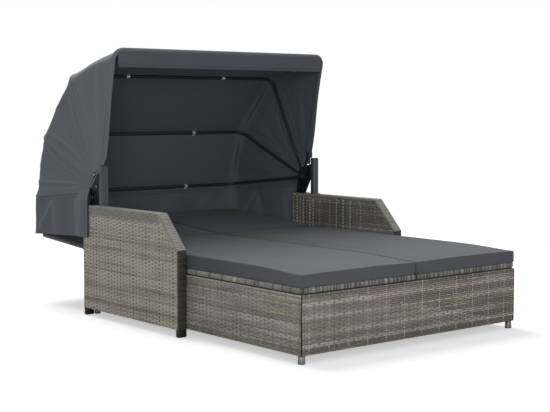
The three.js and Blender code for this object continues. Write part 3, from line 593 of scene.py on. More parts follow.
def weavePanel(bundle, origin, along, outward, size, rowsLift, span=None, **changes):
    # span gives a row's two ends, rowsLift how light it is
    look = {**plainLook, **changes}
    length, height = size
    origin, along, up, outward = (np.asarray(v, float) for v in (origin, along, (0, 0, 1), outward))
    rowCount = round(height / weave["rowPitch"])
    pitch = height / rowCount
    reach = [(row + 0.5) * pitch for row in range(rowCount)]
    spans = [span(level) if span else (0, length) for level in reach]
    section = flatStrip(weave["stripWidth"] * pitch / weave["rowPitch"], weave["thickness"])
    stakeCount = round(length / weave["stakePitch"])
    stakeStep = length / stakeCount
    for row, (level, (start, end)) in enumerate(zip(reach, spans)):
        if end - start < weave["stakePitch"] / 2:
            continue
        count = max(int(math.ceil((end - start) / weave["step"])), 2)
        panel = (origin, along, up, outward, level, section, stakeStep)
        weaveRow(bundle, row, np.linspace(start, end, count + 1), panel, look, rowsLift(level))
    stake = flatStrip(weave["stakeWidth"], weave["thickness"])
    for k in range(stakeCount):
        place = (k + 0.5) * stakeStep
        clear = weave["stakeClear"]
        passed = [level for level, (start, end) in zip(reach, spans) if start + clear < place < end - clear]
        if len(passed) < 2:
            continue
        levels = np.linspace(passed[0] - pitch / 2, passed[-1] + pitch / 2, max(len(passed) // 2, 2))
        path = origin + along * place + np.outer(levels, up)
        section = stake * (weave["wideStake"] if k in look["lightStakes"] else 1, 1)
        addStrip(bundle, path, np.tile(along, (len(path), 1)), np.tile(outward, (len(path), 1)), section,
                 stakeTones(k, place, levels, look))


# Rows that are lighter or darker: a band's middle, measured down from the top, its half height and its lift
bands = {
    "armrest": [(0.055, 0.004, 0.3), (0.063, 0.004, -0.2), (0.085, 0.013, 0.2), (0.113, 0.006, 0.3),
                (0.133, 0.010, -0.3), (0.150, 0.004, 0.4), (0.165, 0.004, 0.35), (0.190, 0.013, -0.25),
                (0.221, 0.004, 0.42), (0.237, 0.004, 0.35), (0.246, 0.004, -0.25), (0.269, 0.004, 0.2),
                (0.280, 0.005, -0.33), (0.300, 0.004, 0.3), (0.316, 0.004, 0.2), (0.36, 0.010, 0.1),
                (0.385, 0.012, 0.2), (0.423, 0.010, -0.5), (0.446, 0.006, 0.1), (0.465, 0.006, -0.3)],
    "inner": [(0.012, 0.008, 0.25), (0.036, 0.004, 0.5), (0.06, 0.004, 0.3), (0.096, 0.005, 0.4),
              (0.12, 0.004, 0.3), (0.147, 0.005, 0.4)],
    "front": [(0.005, 0.008, -0.25), (0.036, 0.007, 0.4), (0.066, 0.013, -0.3), (0.091, 0.006, 0.4),
              (0.146, 0.006, 0.3), (0.170, 0.009, -0.35), (0.195, 0.007, 0.4), (0.215, 0.009, -0.45)],
    "side": [(0.003, 0.005, 0.35), (0.019, 0.004, 0.3), (0.031, 0.006, -0.2), (0.041, 0.004, 0.3),
             (0.056, 0.004, 0.2), (0.080, 0.004, 0.35), (0.098, 0.009, -0.3), (0.120, 0.010, 0.3),
             (0.136, 0.004, -0.25), (0.146, 0.004, 0.2), (0.153, 0.004, -0.3), (0.163, 0.004, 0.25),
             (0.178, 0.006, -0.3), (0.194, 0.006, 0.3), (0.208, 0.004, -0.2)],
}


def bandLift(kind, down, base):
    return base + sum(lift for middle, half, lift in bands[kind] if abs(down - middle) <= half)


basket = {
    "inset": 0.0016,  # outside of the node to the middle of the woven skin
    "corner": 0.0032,  # the panels stop short of the corners
    "frontLift": -0.04,
    "frontContrast": 1.25,
    "sideLift": -0.12,
    "post": {"place": 1.1, "width": 1.7, "short": 0.001, "shade": 0.35},  # place and width in corners
}


def weaveBase():
    low, high = baseLow.z, baseHigh.z
    inset, corner = basket["inset"], basket["corner"]
    tall = high - low
    wide, deep = 2 * halfBed - 2 * corner, rearY - frontY - 2 * corner
    edge = halfBed - inset

    def frontLift(level):
        return bandLift("front", tall - level, basket["frontLift"]) * basket["frontContrast"]

    def sideLift(level):
        return bandLift("side", tall - level, basket["sideLift"])

    bundle = newBundle()
    across, along = (1, 0, 0), (0, 1, 0)
    left, front = corner - halfBed, frontY + corner
    weavePanel(bundle, (left, frontY + inset, low), across, (0, -1, 0), (wide, tall), frontLift,
               seed=4, edgeLight=0.3, marks=1.2)
    weavePanel(bundle, (left, rearY - inset, low), across, (0, 1, 0), (wide, tall), sideLift, seed=19)
    weavePanel(bundle, (-edge, front, low), along, (-1, 0, 0), (deep, tall), sideLift, seed=27, marks=0.7)
    weavePanel(bundle, (edge, front, low), along, (1, 0, 0), (deep, tall), sideLift, seed=42)
    # A dark upright strip of painted shade closes each corner
    post = basket["post"]
    section = flatStrip(corner * post["width"], weave["thickness"])
    for x in (-1, 1):
        for y, out in ((frontY, -1.0), (rearY, 1.0)):
            ends = (low + post["short"], high - post["short"])
            path = np.array([(x * (halfBed - corner * post["place"]), y, z) for z in ends])
            addStrip(bundle, path, np.tile((1.0, 0, 0), (2, 1)), np.tile((0, out, 0), (2, 1)), section,
                     np.array(wickerTones["shade"]) * post["shade"])
    piece = pieceFromBundle("wovenBase", bundle, "wicker", "bed", "wicker")
    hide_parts("base_weave")


weaveBase()
say("woven base")


# Armrests: woven on both faces, with strips wrapped over the edges

armLow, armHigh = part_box("left_armrest_outer_weave")
armrest = {
    "slopeRun": 0.135,
    "frontHeight": 0.361,
    "topFold": 0.047,  # length of a wrap on the outer face
    "slopeFold": 0.017,
    "uprightFold": 0.012,
    "overlap": 0.004,  # rows run this far under the wraps
    "topOverlap": 0.005,
    "edgeLight": 0.12,
}
# painted light and shade: lift and tint make the outer face lighter and the inner face darker and cooler, and
# the inner face's low gap deepens its painted shade at the stakes
armFaces = {
    "outer": {"out": 1, "place": 0.6432, "fold": armrest["topFold"], "slot": "wicker",
              "bands": "armrest", "lift": 0.46,
              "look": {"relief": 0.0006, "seed": 61, "marks": 0.1, "gap": 0.66, "tint": (1.12, 1.1, 1.08)}},
    "inner": {"out": -1, "place": 0.6009, "fold": armrest["slopeFold"], "slot": "wicker_inner",
              "bands": "inner", "lift": -0.6,
              "look": {"relief": 0.00045, "seed": 83, "gap": 0.35, "tint": (0.87, 0.93, 0.97),
                       "lightStakes": {28: 1.8, 27: 1.2, 26: 1.65, 24: 1.65, 23: 1.3, 21: 0.9, 18: 1.0,
                                       16: 1.4, 14: 1.65, 12: 1.45, 9: 0.8, 5: 0.7}}},
}


def armOutlineAt(level):
    # Front end of a row at this height above the lowest row
    height = armLow.z + level
    rise = (height - armrest["frontHeight"]) / (armHigh.z - armrest["frontHeight"])
    return armrest["slopeRun"] * max(rise, 0)


def weaveArmrest(word, side):
    length, height = armHigh.y - armLow.y, armHigh.z - armLow.z
    margin = armrest["uprightFold"] - armrest["overlap"]
    for name, face in armFaces.items():
        topBand = height - face["fold"] + armrest["topOverlap"]

        def span(level):
            sloped = armOutlineAt(level)
            start = margin + sloped + (margin if sloped else 0)
            if level > topBand:
                return start, armrest["slopeRun"] + armrest["overlap"]
            return start, length - margin

        def lift(level):
            return bandLift(face["bands"], height - level, face["lift"])

        bundle = newBundle()
        look = {**face["look"], "seed": face["look"]["seed"] + side}
        weavePanel(bundle, (side * face["place"], armLow.y, armLow.z), (0, 1, 0), (side * face["out"], 0, 0),
                   (length, height - margin), lift, span, edgeLight=armrest["edgeLight"], **look)
        piece = pieceFromBundle(f"{word}Armrest{name.title()}Weave", bundle, "wicker", "bed", face["slot"])
        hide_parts(f"{word}_armrest_{name}_weave")


wrap = {
    "inner": 0.60055,  # faces that the wraps lie on
    "outer": 0.64385,
    "pitch": 0.0082,
    "width": 0.0068,
    "thickness": 0.0008,
    "stand": 0.0006,
    "corner": 0.003,
    "cut": 0.3,  # how far the wraps cut the corners
    "stitch": 0.0052,  # half the distance between the dips of a long wrap
    "raised": 0.0004,
    "dip": 0.0006,
    "uneven": (0.95, 1.03),
    "runs": [3, 4, 5, 7],  # wraps in a row that share a lightness
    "runShade": (-0.35, 0.35),
    "shade": (-0.35, 0.3),
    "third": 0.45,  # every third wrap is lighter
    "contrast": 0.6,
    # paleTop and paleSlope paint light on the wraps of the top and the slope; end paints light on the front
    # wraps' ends on the side face
    "paleTop": 0.25,
    "paleSlope": 0.4,
    "grey": 0.5,
    "dips": (1.15, 0.55, 0.4),  # tone between the dips as painted highlight, and how much darker a dip is as painted shade
    "end": 0.9,
}


def wrapArmrest(word, side):
    # Each wrap starts on the outer face, goes over the edge and ends on the inner face
    inner, outer, stand, corner = wrap["inner"], wrap["outer"], wrap["stand"], wrap["corner"]
    front, rear, low, high = armLow.y, armHigh.y, armLow.z, armHigh.z
    edge, pale, top = armrest["uprightFold"], armrest["slopeFold"], armrest["topFold"]
    bend = (front, armrest["frontHeight"])
    slope = Vector((0, armrest["slopeRun"], high - armrest["frontHeight"]))
    slopeEnd = (front + slope.y, high)
    slopeOut = (-slope.normalized().z, slope.normalized().y)
    runs = [
        # from, to, outward, fold on the outer face and on the inner one, tone: painted shade on the front
        # upright, painted light on the slope and the top
        ((front, low), bend, (-1, 0), edge, edge, "shade"),
        (bend, slopeEnd, slopeOut, pale, pale, "pale"),
        (slopeEnd, (rear, high), (0, 1), top, pale, "pale"),
        ((rear, low), (rear, high), (1, 0), edge, edge, "middle"),
    ]
    over = [(outer, -corner), (outer - corner * wrap["cut"], -corner * wrap["cut"]), (outer - corner, stand),
            ((inner + outer) / 2, stand * 1.6), (inner + corner, stand),
            (inner + corner * wrap["cut"], -corner * wrap["cut"]), (inner, -corner)]
    overOut = [(1, 0), (0.7, 0.7), (0, 1), (0, 1), (0, 1), (-0.7, 0.7), (-1, 0), (-1, 0)]
    section = flatStrip(wrap["width"], wrap["thickness"])
    bundle = newBundle()
    generator = random.Random(7 + side)
    for start, end, out, foldOut, foldIn, kind in runs:
        start, end, out = np.array(start), np.array(end), np.array(out)
        length = np.linalg.norm(end - start)
        direction = (end - start) / length
        count = round(length / wrap["pitch"])
        runLength, runShade = 3, 0
        for k in range(count):
            middle = start + direction * (k + 0.5) * length / count
            down = foldOut * generator.uniform(*wrap["uneven"])
            steps = max(round((down - corner) / wrap["stitch"]), 1)
            stitched = steps > 4
            dips = np.zeros(steps)
            if stitched:
                dips = 0.5 - 0.5 * np.cos(math.pi * (np.arange(steps) / 2 + k))
            face = outer + (wrap["raised"] if stitched else 0)
            profile = [(face - wrap["dip"] * dip, -down + (down - corner) * n / steps)
                       for n, dip in enumerate(dips)]
            profile += over + [(inner, -foldIn)]
            normals = [(1, 0)] * steps + overOut
            path = np.array([(side * x, *(middle + out * h)) for x, h in profile])
            outward = np.array([(side * a, *(out * b)) for a, b in normals])
            across = np.tile((0, *direction), (len(path), 1))
            if k % runLength == 0:
                runLength, runShade = generator.choice(wrap["runs"]), generator.uniform(*wrap["runShade"])
            shade = generator.uniform(*wrap["shade"]) + (wrap["third"] if k % 3 == 0 else 0) + runShade
            tone = np.array(wickerTones["shade" if kind == "shade" else "middle"])
            tone *= 1 + shade * wrap["contrast"]
            if kind == "pale":
                paler = wrap["paleSlope" if foldOut == pale else "paleTop"]
                tone = mixTones(tone, wickerTones["light"], paler)
                tone = mixTones(tone, wickerTones["grey"], wrap["grey"])
            tones = np.tile(tone, (len(path), 1))
            between, deep, more = wrap["dips"]
            # painted shade in the dips of a long wrap, painted highlight between them
            tones[:steps] *= between - (deep + more * runShade) * dips[:, None]
            # the front wraps are painted shade, with their ends on the side face painted light
            if kind == "shade":
                tones[:2] = np.asarray(wickerTones["light"]) * wrap["end"]
            addStrip(bundle, path, across, outward, section, tones)
    pieceFromBundle(f"{word}ArmrestWraps", bundle, "wicker", "bed", "wicker")


for word, side in sides.items():
    weaveArmrest(word, side)
    wrapArmrest(word, side)
say("armrests")


# Wrapped rims of the seat frames and backrest frames

rim = {
    "tube": 0.019,
    "corner": 0.02,
    "chamfer": 0.004,
    "pitch": 0.0079,
    "width": 0.0076,
    "thickness": 0.0009,
    "fold": 0.009,  # how far a wrap reaches over and under the tube
    "stand": 0.0006,
    "eased": 0.2,  # how far a wrap cuts the tube's edges, as a share of the chamfer
    "hues": ["light", "middle", "grey", "grey", "light", "olive"],
    "grey": 0.4,
    "groupTone": (0.66, 1.02),
    "wrapTone": (0.84, 1.1),
    "gap": 0.45,  # tone of the wrap that starts a group
    "sideGroups": (0.02, 0.085),  # how long a group is
    "frontGroups": (0.006, 0.022),
    "backGroups": (0.03, 0.08),
}


def rimPath(points, radius):
    # Straight runs joined by an arc at each corner, sampled finely: places and distances
    places = [np.array(points[0], float)]
    for before, corner, after in zip(points, points[1:], points[2:]):
        before, corner, after = (np.array(p, float) for p in (before, corner, after))
        into = (corner - before) / np.linalg.norm(corner - before)
        out = (after - corner) / np.linalg.norm(after - corner)
        start = corner - into * radius
        middle = start + out * radius
        for turn in np.linspace(0, math.pi / 2, 9):
            places.append(middle - out * radius * math.cos(turn) + into * radius * math.sin(turn))
    places.append(np.array(points[-1], float))
    places = np.array(places)
    steps = np.linalg.norm(np.diff(places, axis=0), axis=1)
    return places, np.concatenate([[0], np.cumsum(steps)])


def wrapRim(bundle, points, level, groupAt, seed, place=None):
    # Wraps side by side along a rim, in groups of one tone with a dark wrap at the start of each
    places, reach = rimPath(points, rim["corner"])
    generator = random.Random(seed)
    tube, fold, stand, chamfer = rim["tube"], rim["fold"], rim["stand"], rim["chamfer"]
    eased = chamfer * rim["eased"]
    profile = [(-fold, stand), (-chamfer, stand), (-eased, -eased), (stand, -chamfer),
               (stand, -tube + chamfer), (-eased, -tube + eased), (-chamfer, -tube - stand),
               (-fold, -tube - stand)]
    normals = [(0, 1), (0.3, 0.95), (0.7, 0.7), (0.95, 0.3), (0.95, -0.3), (0.7, -0.7), (0.3, -0.95), (0, -1)]
    section = flatStrip(rim["width"], rim["thickness"])
    total = reach[-1]
    count = round(total / rim["pitch"])
    left = 0

    def spot(at):
        return np.array([np.interp(at, reach, places[:, axis]) for axis in (0, 1)])

    for k in range(count):
        at = (k + 0.5) * total / count
        here = spot(at)
        ahead, behind = spot(min(at + 0.003, total)), spot(max(at - 0.003, 0))
        direction = (ahead - behind) / np.linalg.norm(ahead - behind)
        out = np.array([direction[1], -direction[0]])
        starts = left <= 0
        if starts:
            left = generator.uniform(*rim[groupAt(here)])
            hue = wickerTones[generator.choice(rim["hues"])]
            tone = mixTones(hue, wickerTones["grey"], rim["grey"]) * generator.uniform(*rim["groupTone"])
        left -= total / count
        path = np.array([(*(here + out * a), level + b) for a, b in profile])
        outward = np.array([(*(out * a), b) for a, b in normals])
        across = np.tile((*direction, 0), (len(path), 1))
        if place:
            path = np.array([place(p) for p in path])
            outward = np.array([place(p, True) for p in outward])
            across = np.array([place(p, True) for p in across])
        shade = generator.uniform(*rim["wrapTone"]) * (rim["gap"] if starts else 1)
        addStrip(bundle, path, across, outward, section, np.tile(tone * shade, (len(path), 1)))


def seatGroups(here):
    return "sideGroups" if here[1] > frontY + rim["corner"] else "frontGroups"


def backGroups(here):
    return "backGroups"


def wrapSeatRims():
    for word, side in sides.items():
        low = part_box(f"{word}_seat_frame")[0]
        top = low.z + rim["tube"]
        inner = side * middleGap
        points = [(side * halfBed, armLow.y - 0.001), (side * halfBed, low.y), (inner, low.y)]
        if side > 0:
            points.reverse()
        bundle = newBundle()
        wrapRim(bundle, points, top, seatGroups, 11 + side)
        pieceFromBundle(f"{word}SeatRim", bundle, "wicker", "bed", "wrapped_tube")


def tiltPlace(angle):
    # A turn about the hinge line, for places or for directions
    cosine, sine = math.cos(angle), math.sin(angle)

    def place(point, turnOnly=False):
        x, y, z = point
        if turnOnly:
            return (x, y * cosine - z * sine, y * sine + z * cosine)
        y, z = y - hingeY, z - hingeZ
        return (x, hingeY + y * cosine - z * sine, hingeZ + y * sine + z * cosine)

    return place


middleGap = 0.002  # from the bed's middle to each frame's rim
backrest = {
    "tilt": 4,
    "length": 0.684,
    "clear": 0.006,  # from the hinge line to the rim
    # painted shade: tone darkens the whole back rim under the canopy, and lowerTone paints its lower part
    # lighter
    "tone": 0.3,
    "lowerTone": 0.45,  # more light on the lower part of the rim
    "lower": (0.5, 0.7),  # where that begins and ends, down from the top, in tubes
}


def wrapBackRims():
    tilt = math.radians(backrest["tilt"])
    for word, side in sides.items():
        low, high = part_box(f"{word}_back_frame")
        outer = max(abs(low.x), abs(high.x))
        end = hingeY + backrest["length"]
        points = [(side * middleGap, end), (side * outer, end), (side * outer, hingeY + backrest["clear"])]
        if side > 0:
            points.reverse()
        bundle = newBundle()
        wrapRim(bundle, points, hingeZ, backGroups, 23 + side, tiltPlace(tilt))
        piece = pieceFromBundle(f"{word}BackRim", bundle, "wicker", f"{word}_backrest", "wrapped_tube")
        colors = np.zeros(len(piece.data.vertices) * 4, np.float32)
        piece.data.attributes["tone"].data.foreach_get("color", colors)
        heights = np.array([v.co.z - (v.co.y - hingeY) * math.tan(tilt) for v in piece.data.vertices])
        lower = smoothStep(hingeZ - heights, *(rim["tube"] * share for share in backrest["lower"]))
        # painted shade over the rim's own tones, lighter on its lower part
        shade = backrest["tone"] + backrest["lowerTone"] * lower
        setTones(piece, colors.reshape(-1, 4)[:, :3] * shade[:, None])


wrapSeatRims()
wrapBackRims()
say("wrapped rims")


# Hard parts that keep their shape: edges are eased, and each gets its finish

easing = {"merge": 0.00002, "flat": 2, "sharp": 40, "smooth": 38, "segments": 2}  # angles in degrees
slimUpright = {"share": 0.88, "place": 0.631}  # width that stays, and the place that doesn't move


def easeEdges(node, name, width, finish, slimSide=0):
    # A copy of a solid with its edges rounded stands for it
    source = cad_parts[node]
    mesh = source.data.copy()
    mesh.name = name
    bm = bmesh.new()
    bm.from_mesh(mesh)
    bmesh.ops.remove_doubles(bm, verts=bm.verts, dist=easing["merge"])
    bmesh.ops.dissolve_limit(bm, angle_limit=math.radians(easing["flat"]), verts=bm.verts, edges=bm.edges)
    steepest = math.radians(easing["sharp"])
    sharp = [e for e in bm.edges if len(e.link_faces) == 2 and e.calc_face_angle(0) > steepest]
    bmesh.ops.bevel(bm, geom=sharp, offset=width, segments=easing["segments"], profile=0.5, affect="EDGES",
                    clamp_overlap=True)
    bm.to_mesh(mesh)
    bm.free()
    if slimSide:
        place = slimSide * slimUpright["place"]
        for vertex in mesh.vertices:
            vertex.co.x = place + (vertex.co.x - place) * slimUpright["share"]
    mesh.materials.clear()
    mesh.materials.append(finishes[finish])
    mesh.polygons.foreach_set("use_smooth", np.ones(len(mesh.polygons), bool))
    mesh.set_sharp_from_angle(angle=math.radians(easing["smooth"]))
    piece = bpy.data.objects.new(name, mesh)
    bpy.context.scene.collection.objects.link(piece)
    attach(piece, "bed")
    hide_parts(node)


for word, side in sides.items():
    easeEdges(f"{word}_post", f"{word}Upright", 0.0012, "post", side)
    easeEdges(f"{word}_post_plug", f"{word}UprightPlug", 0.0006, "plastic", side)
    easeEdges(f"{word}_pivot_bracket", f"{word}PivotBracket", 0.0006, "bracket")
    for screw in ("upper", "lower"):
        name = f"{word}{screw.title()}BracketScrew"
        easeEdges(f"{word}_bracket_{screw}_screw", name, 0.0005, "steel")
    easeEdges(f"{word}_pivot_bolt", f"{word}PivotBolt", 0.0006, "dullSteel")
    for end in ("front", "rear"):
        name = f"{word}Armrest{end.title()}Foot"
        easeEdges(f"{word}_armrest_{end}_foot", name, 0.0016, "plastic")


def recolor(node, finish):
    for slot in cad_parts[node].material_slots:
        slot.material = finishes[finish]


legSleeve = {
    "corners": 24,
    # change of the foot's radius, height above the floor, and tone: a rolled lower edge and a straight sleeve
    "profile": [(-0.004, 0.0002, 0.35), (-0.0012, 0.0006, 0.35), (0.0002, 0.003, 0.35), (0.0004, 0.010, 0.8),
                (-0.0002, 0.0135, 1), (-0.0004, 0.016, 1)],
    "under": 0.004,  # how far the sleeve goes up behind the woven skin
}


def makeLegSleeves():
    # The round feet below the woven skin, with a rolled lower edge
    for end in ("front", "rear"):
        for word in sides:
            low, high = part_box(f"{end}_{word}_leg_cap")
            middle = (low + high) / 2
            radius = (high.x - low.x) / 2
            profile = legSleeve["profile"] + [(-0.0004, baseLow.z + legSleeve["under"], 1)]
            path = np.array([(middle.x, middle.y, z) for _, z, _ in profile])
            circle = ellipse(1, 1, legSleeve["corners"])
            sections = np.stack([circle * (radius + change) for change, _, _ in profile])
            tones = np.array([(tone,) * 3 for _, _, tone in profile])
            bundle = newBundle()
            addStrip(bundle, path, np.tile((1.0, 0, 0), (len(path), 1)), np.tile((0, 1.0, 0), (len(path), 1)),
                     sections, tones)
            piece = pieceFromBundle(f"{end}{word.title()}Foot", bundle, "legGrey", "bed", "plastic")
            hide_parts(f"{end}_{word}_leg_cap")


makeLegSleeves()
recolor("base_frame", "darkTube")
for word in sides:
    for kind in ("seat", "back", "armrest"):
        recolor(f"{word}_{kind}_frame", "darkTube")
    recolor(f"{word}_prop_stay", "steel")
    recolor(f"{word}_hinge_rod", "steel")
    for end in ("outer", "inner"):
        recolor(f"{word}_{end}_rest_buffer", "plastic")
say("metal and plastic parts")


# Canopy

canopy = {
    "front": (-0.143, 0.616),  # pivot to the cloth's corner at each bow, in Y and Z
    "second": (0.263, 0.511),
    "third": (0.527, 0.224),
    "rearDrop": 0.066,
    "halfWidth": 0.6150,
    "bend": 0.055,
    "sideShare": 0.2,  # of the way round a section that each side takes, and each bend
    "bendShare": 0.12,
    "cutoutFront": 0.0598,
    "cutoutRear": 0.0600,
    "thickness": 0.0016,
    "step": 0.006,  # the cloth drops this much right beside a bow
    "stepWidth": 0.017,
    "sag": 0.004,
    "bendSag": 0.003,
    "sideSag": 0.005,
    "hem": 0.022,
}
rearCorner = (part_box("rear_gore")[1].y - pivotY, -canopy["rearDrop"])
bowCorners = {word: canopy[word] for word in ("front", "second", "third")}
bowCorners["rear"] = rearCorner


def shellFaces(across, along):
    # Faces of a closed sheet: an outer grid, an inner grid and the rim between them
    i, j = np.meshgrid(np.arange(across), np.arange(along))
    a = (j * (across + 1) + i).ravel()
    b, c, d = a + 1, a + across + 2, a + across + 1
    layer = (across + 1) * (along + 1)
    faces = [np.stack([a, b, c, d], -1), np.stack([d, c, b, a], -1) + layer]
    loop = list(range(across)) + [k * (across + 1) + across for k in range(along)]
    loop += [along * (across + 1) + k for k in range(across, 0, -1)]
    loop += [k * (across + 1) for k in range(along, 0, -1)]
    loop = np.array(loop)
    after = np.roll(loop, -1)
    faces.append(np.stack([loop, loop + layer, after + layer, after], -1))
    return np.concatenate(faces)


def clothShell(grid, thickness, flatten=None):
    # grid holds the outer face: rows along the first axis, columns across
    alongStep = np.gradient(grid, axis=0)
    acrossStep = np.gradient(grid, axis=1)
    normals = np.cross(acrossStep, alongStep)
    normals /= np.maximum(np.linalg.norm(normals, axis=2, keepdims=True), 1e-12)
    if flatten is not None:
        normals -= flatten * np.sum(normals * flatten, axis=2, keepdims=True)
        normals /= np.maximum(np.linalg.norm(normals, axis=2, keepdims=True), 1e-12)
    inner = grid - normals * thickness
    rows, columns = grid.shape[:2]
    return np.concatenate([grid.reshape(-1, 3), inner.reshape(-1, 3)]), shellFaces(columns - 1, rows - 1)


def flatSize(grid):
    # The most across and along a sheet, and its area
    across = np.linalg.norm(np.diff(grid, axis=1), axis=2).sum(axis=1).max()
    along = np.linalg.norm(np.diff(grid, axis=0), axis=2).sum(axis=0).max()
    cells = np.cross(grid[1:, 1:] - grid[:-1, :-1], grid[1:, :-1] - grid[:-1, 1:])
    return float(across), float(along), float(np.linalg.norm(cells, axis=2).sum() / 2)


def makeSheet(name, grid, tones, thickness, body, node=None, insideTones=None, flatten=None):
    # A closed sheet from its outer face, with the same tones inside unless others are given
    points, faces = clothShell(grid, thickness, flatten)
    inside = tones if insideTones is None else insideTones
    both = np.concatenate([tones.reshape(-1, 3), inside.reshape(-1, 3)])
    piece = makePiece(name, points, faces, "canopy", body, "canopy_fabric", both)
    if node:
        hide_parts(node)
    return piece


def sectionShares():
    # Columns from one edge to the other, finer at the edges and the bends
    side, bend = canopy["sideShare"], canopy["sideShare"] + canopy["bendShare"]
    half = [0, 0.0012, 0.0024, 0.0036, 0.005, 0.008, 0.013]
    for start, end, count in ((0.02, side, 24), (side, bend, 17), (bend, 0.5, 33)):
        half += [share for share in np.linspace(start, end, count) if share > half[-1]]
    return np.array(half + [1 - share for share in reversed(half[:-1])])


def canopySection(share, low, high, bend):
    # Distance from the middle and height of a point on the way round a section
    s = min(share, 1 - share)
    side, bent, half = canopy["sideShare"], canopy["bendShare"], canopy["halfWidth"]
    if s < side:
        x, height = half, low + (high - bend - low) * s / side
    elif s < side + bent:
        turn = (s - side) / bent * math.pi / 2
        x, height = half - bend * (1 - math.cos(turn)), high - bend + bend * math.sin(turn)
    else:
        x, height = (half - bend) * (1 - (s - side - bent) / (0.5 - side - bent)), high
    return (x if share > 0.5 else -x), height


gore = {
    # rows of points beside a bow, by their distance from it
    "nearBow": [0.0004, 0.002, 0.004, 0.006, 0.009, 0.012, 0.016, 0.020, 0.024, 0.030, 0.038],
    "rows": (0.046, 40),  # where the even rows start, and how many there are
    "tighter": 0.5,  # how much tighter the bend gets between two bows
    # noise on the sides: pace along and up, its place and how far that is off for each side, share of the sag
    "crease": (3.2, 2.4, 5, 2, 0.9),
    "fine": (9, 5, 9, 3, 0.4),
    "even": 0.6,
    "roll": (2.2, 2.5, 5.1, 0.5),  # the same for the top: pace across and along, place of each gore, share
    "sideStep": 0.7,
    "bendStep": 0.5,
    "bendWidth": 0.05,
    "proud": 0.0004,  # the most that the sides stand out
    # ridges on the sides of each gore: place between its bows near the top and near the pivot, width, height
    "ridges": [[(0.90, 0.55, 0.03, 0.003), (0.35, 0.3, 0.06, 0.002)],
               [(0.05, 0.40, 0.03, 0.005), (0.93, 0.55, 0.035, 0.004), (0.5, 0.75, 0.05, 0.002)],
               [(0.10, 0.50, 0.035, 0.004), (0.80, 0.72, 0.04, 0.004)]],
    "ridgeLight": 30,
    "seam": (0.5, 0.003),  # painted highlight along a bow and painted shade in the crease beside it
    "seamShade": (0.25, 0.010, 0.003),
    "hemTone": 1.1,
    "hemLine": (0.3, 0.003),
    "edging": [(0.005, 1.3), (0.010, 0.5)],  # a pale binding round the pivots and, beside it, a dark line of painted shadow
    # painted light: the front gore is made lighter than the others
    "frontTone": 1.08,
    # painted shade: the inside face is darker and cooler, and darker still along the bends between the bows
    "inside": (0.78, 0.80, 0.88),
    "insideBend": (0.6, 0.012),
}


def sideNoise(k, v, height, x, rules):
    along, up, place, apart, share = rules
    return share * noise.noise(Vector((v * along + k * 7, height * up, place + math.copysign(apart, x))))


def seamTone(k, fromFront, toBow):
    light, width = gore["seam"]
    dark, place, narrow = gore["seamShade"]
    # painted highlight along the bow, painted shade in the crease beside it
    tone = 1 + light * bell(toBow, width) - dark * bell(toBow - place, narrow)
    if k == 0:
        hem = fromFront - canopy["hem"]
        dark, width = gore["hemLine"]
        tone *= (gore["hemTone"] if hem < 0 else 1) * (1 - dark * bell(hem, width))
    return tone


def edgingTone(toEdge):
    for reach, tone in gore["edging"]:
        if toEdge < reach:
            return tone
    return 1


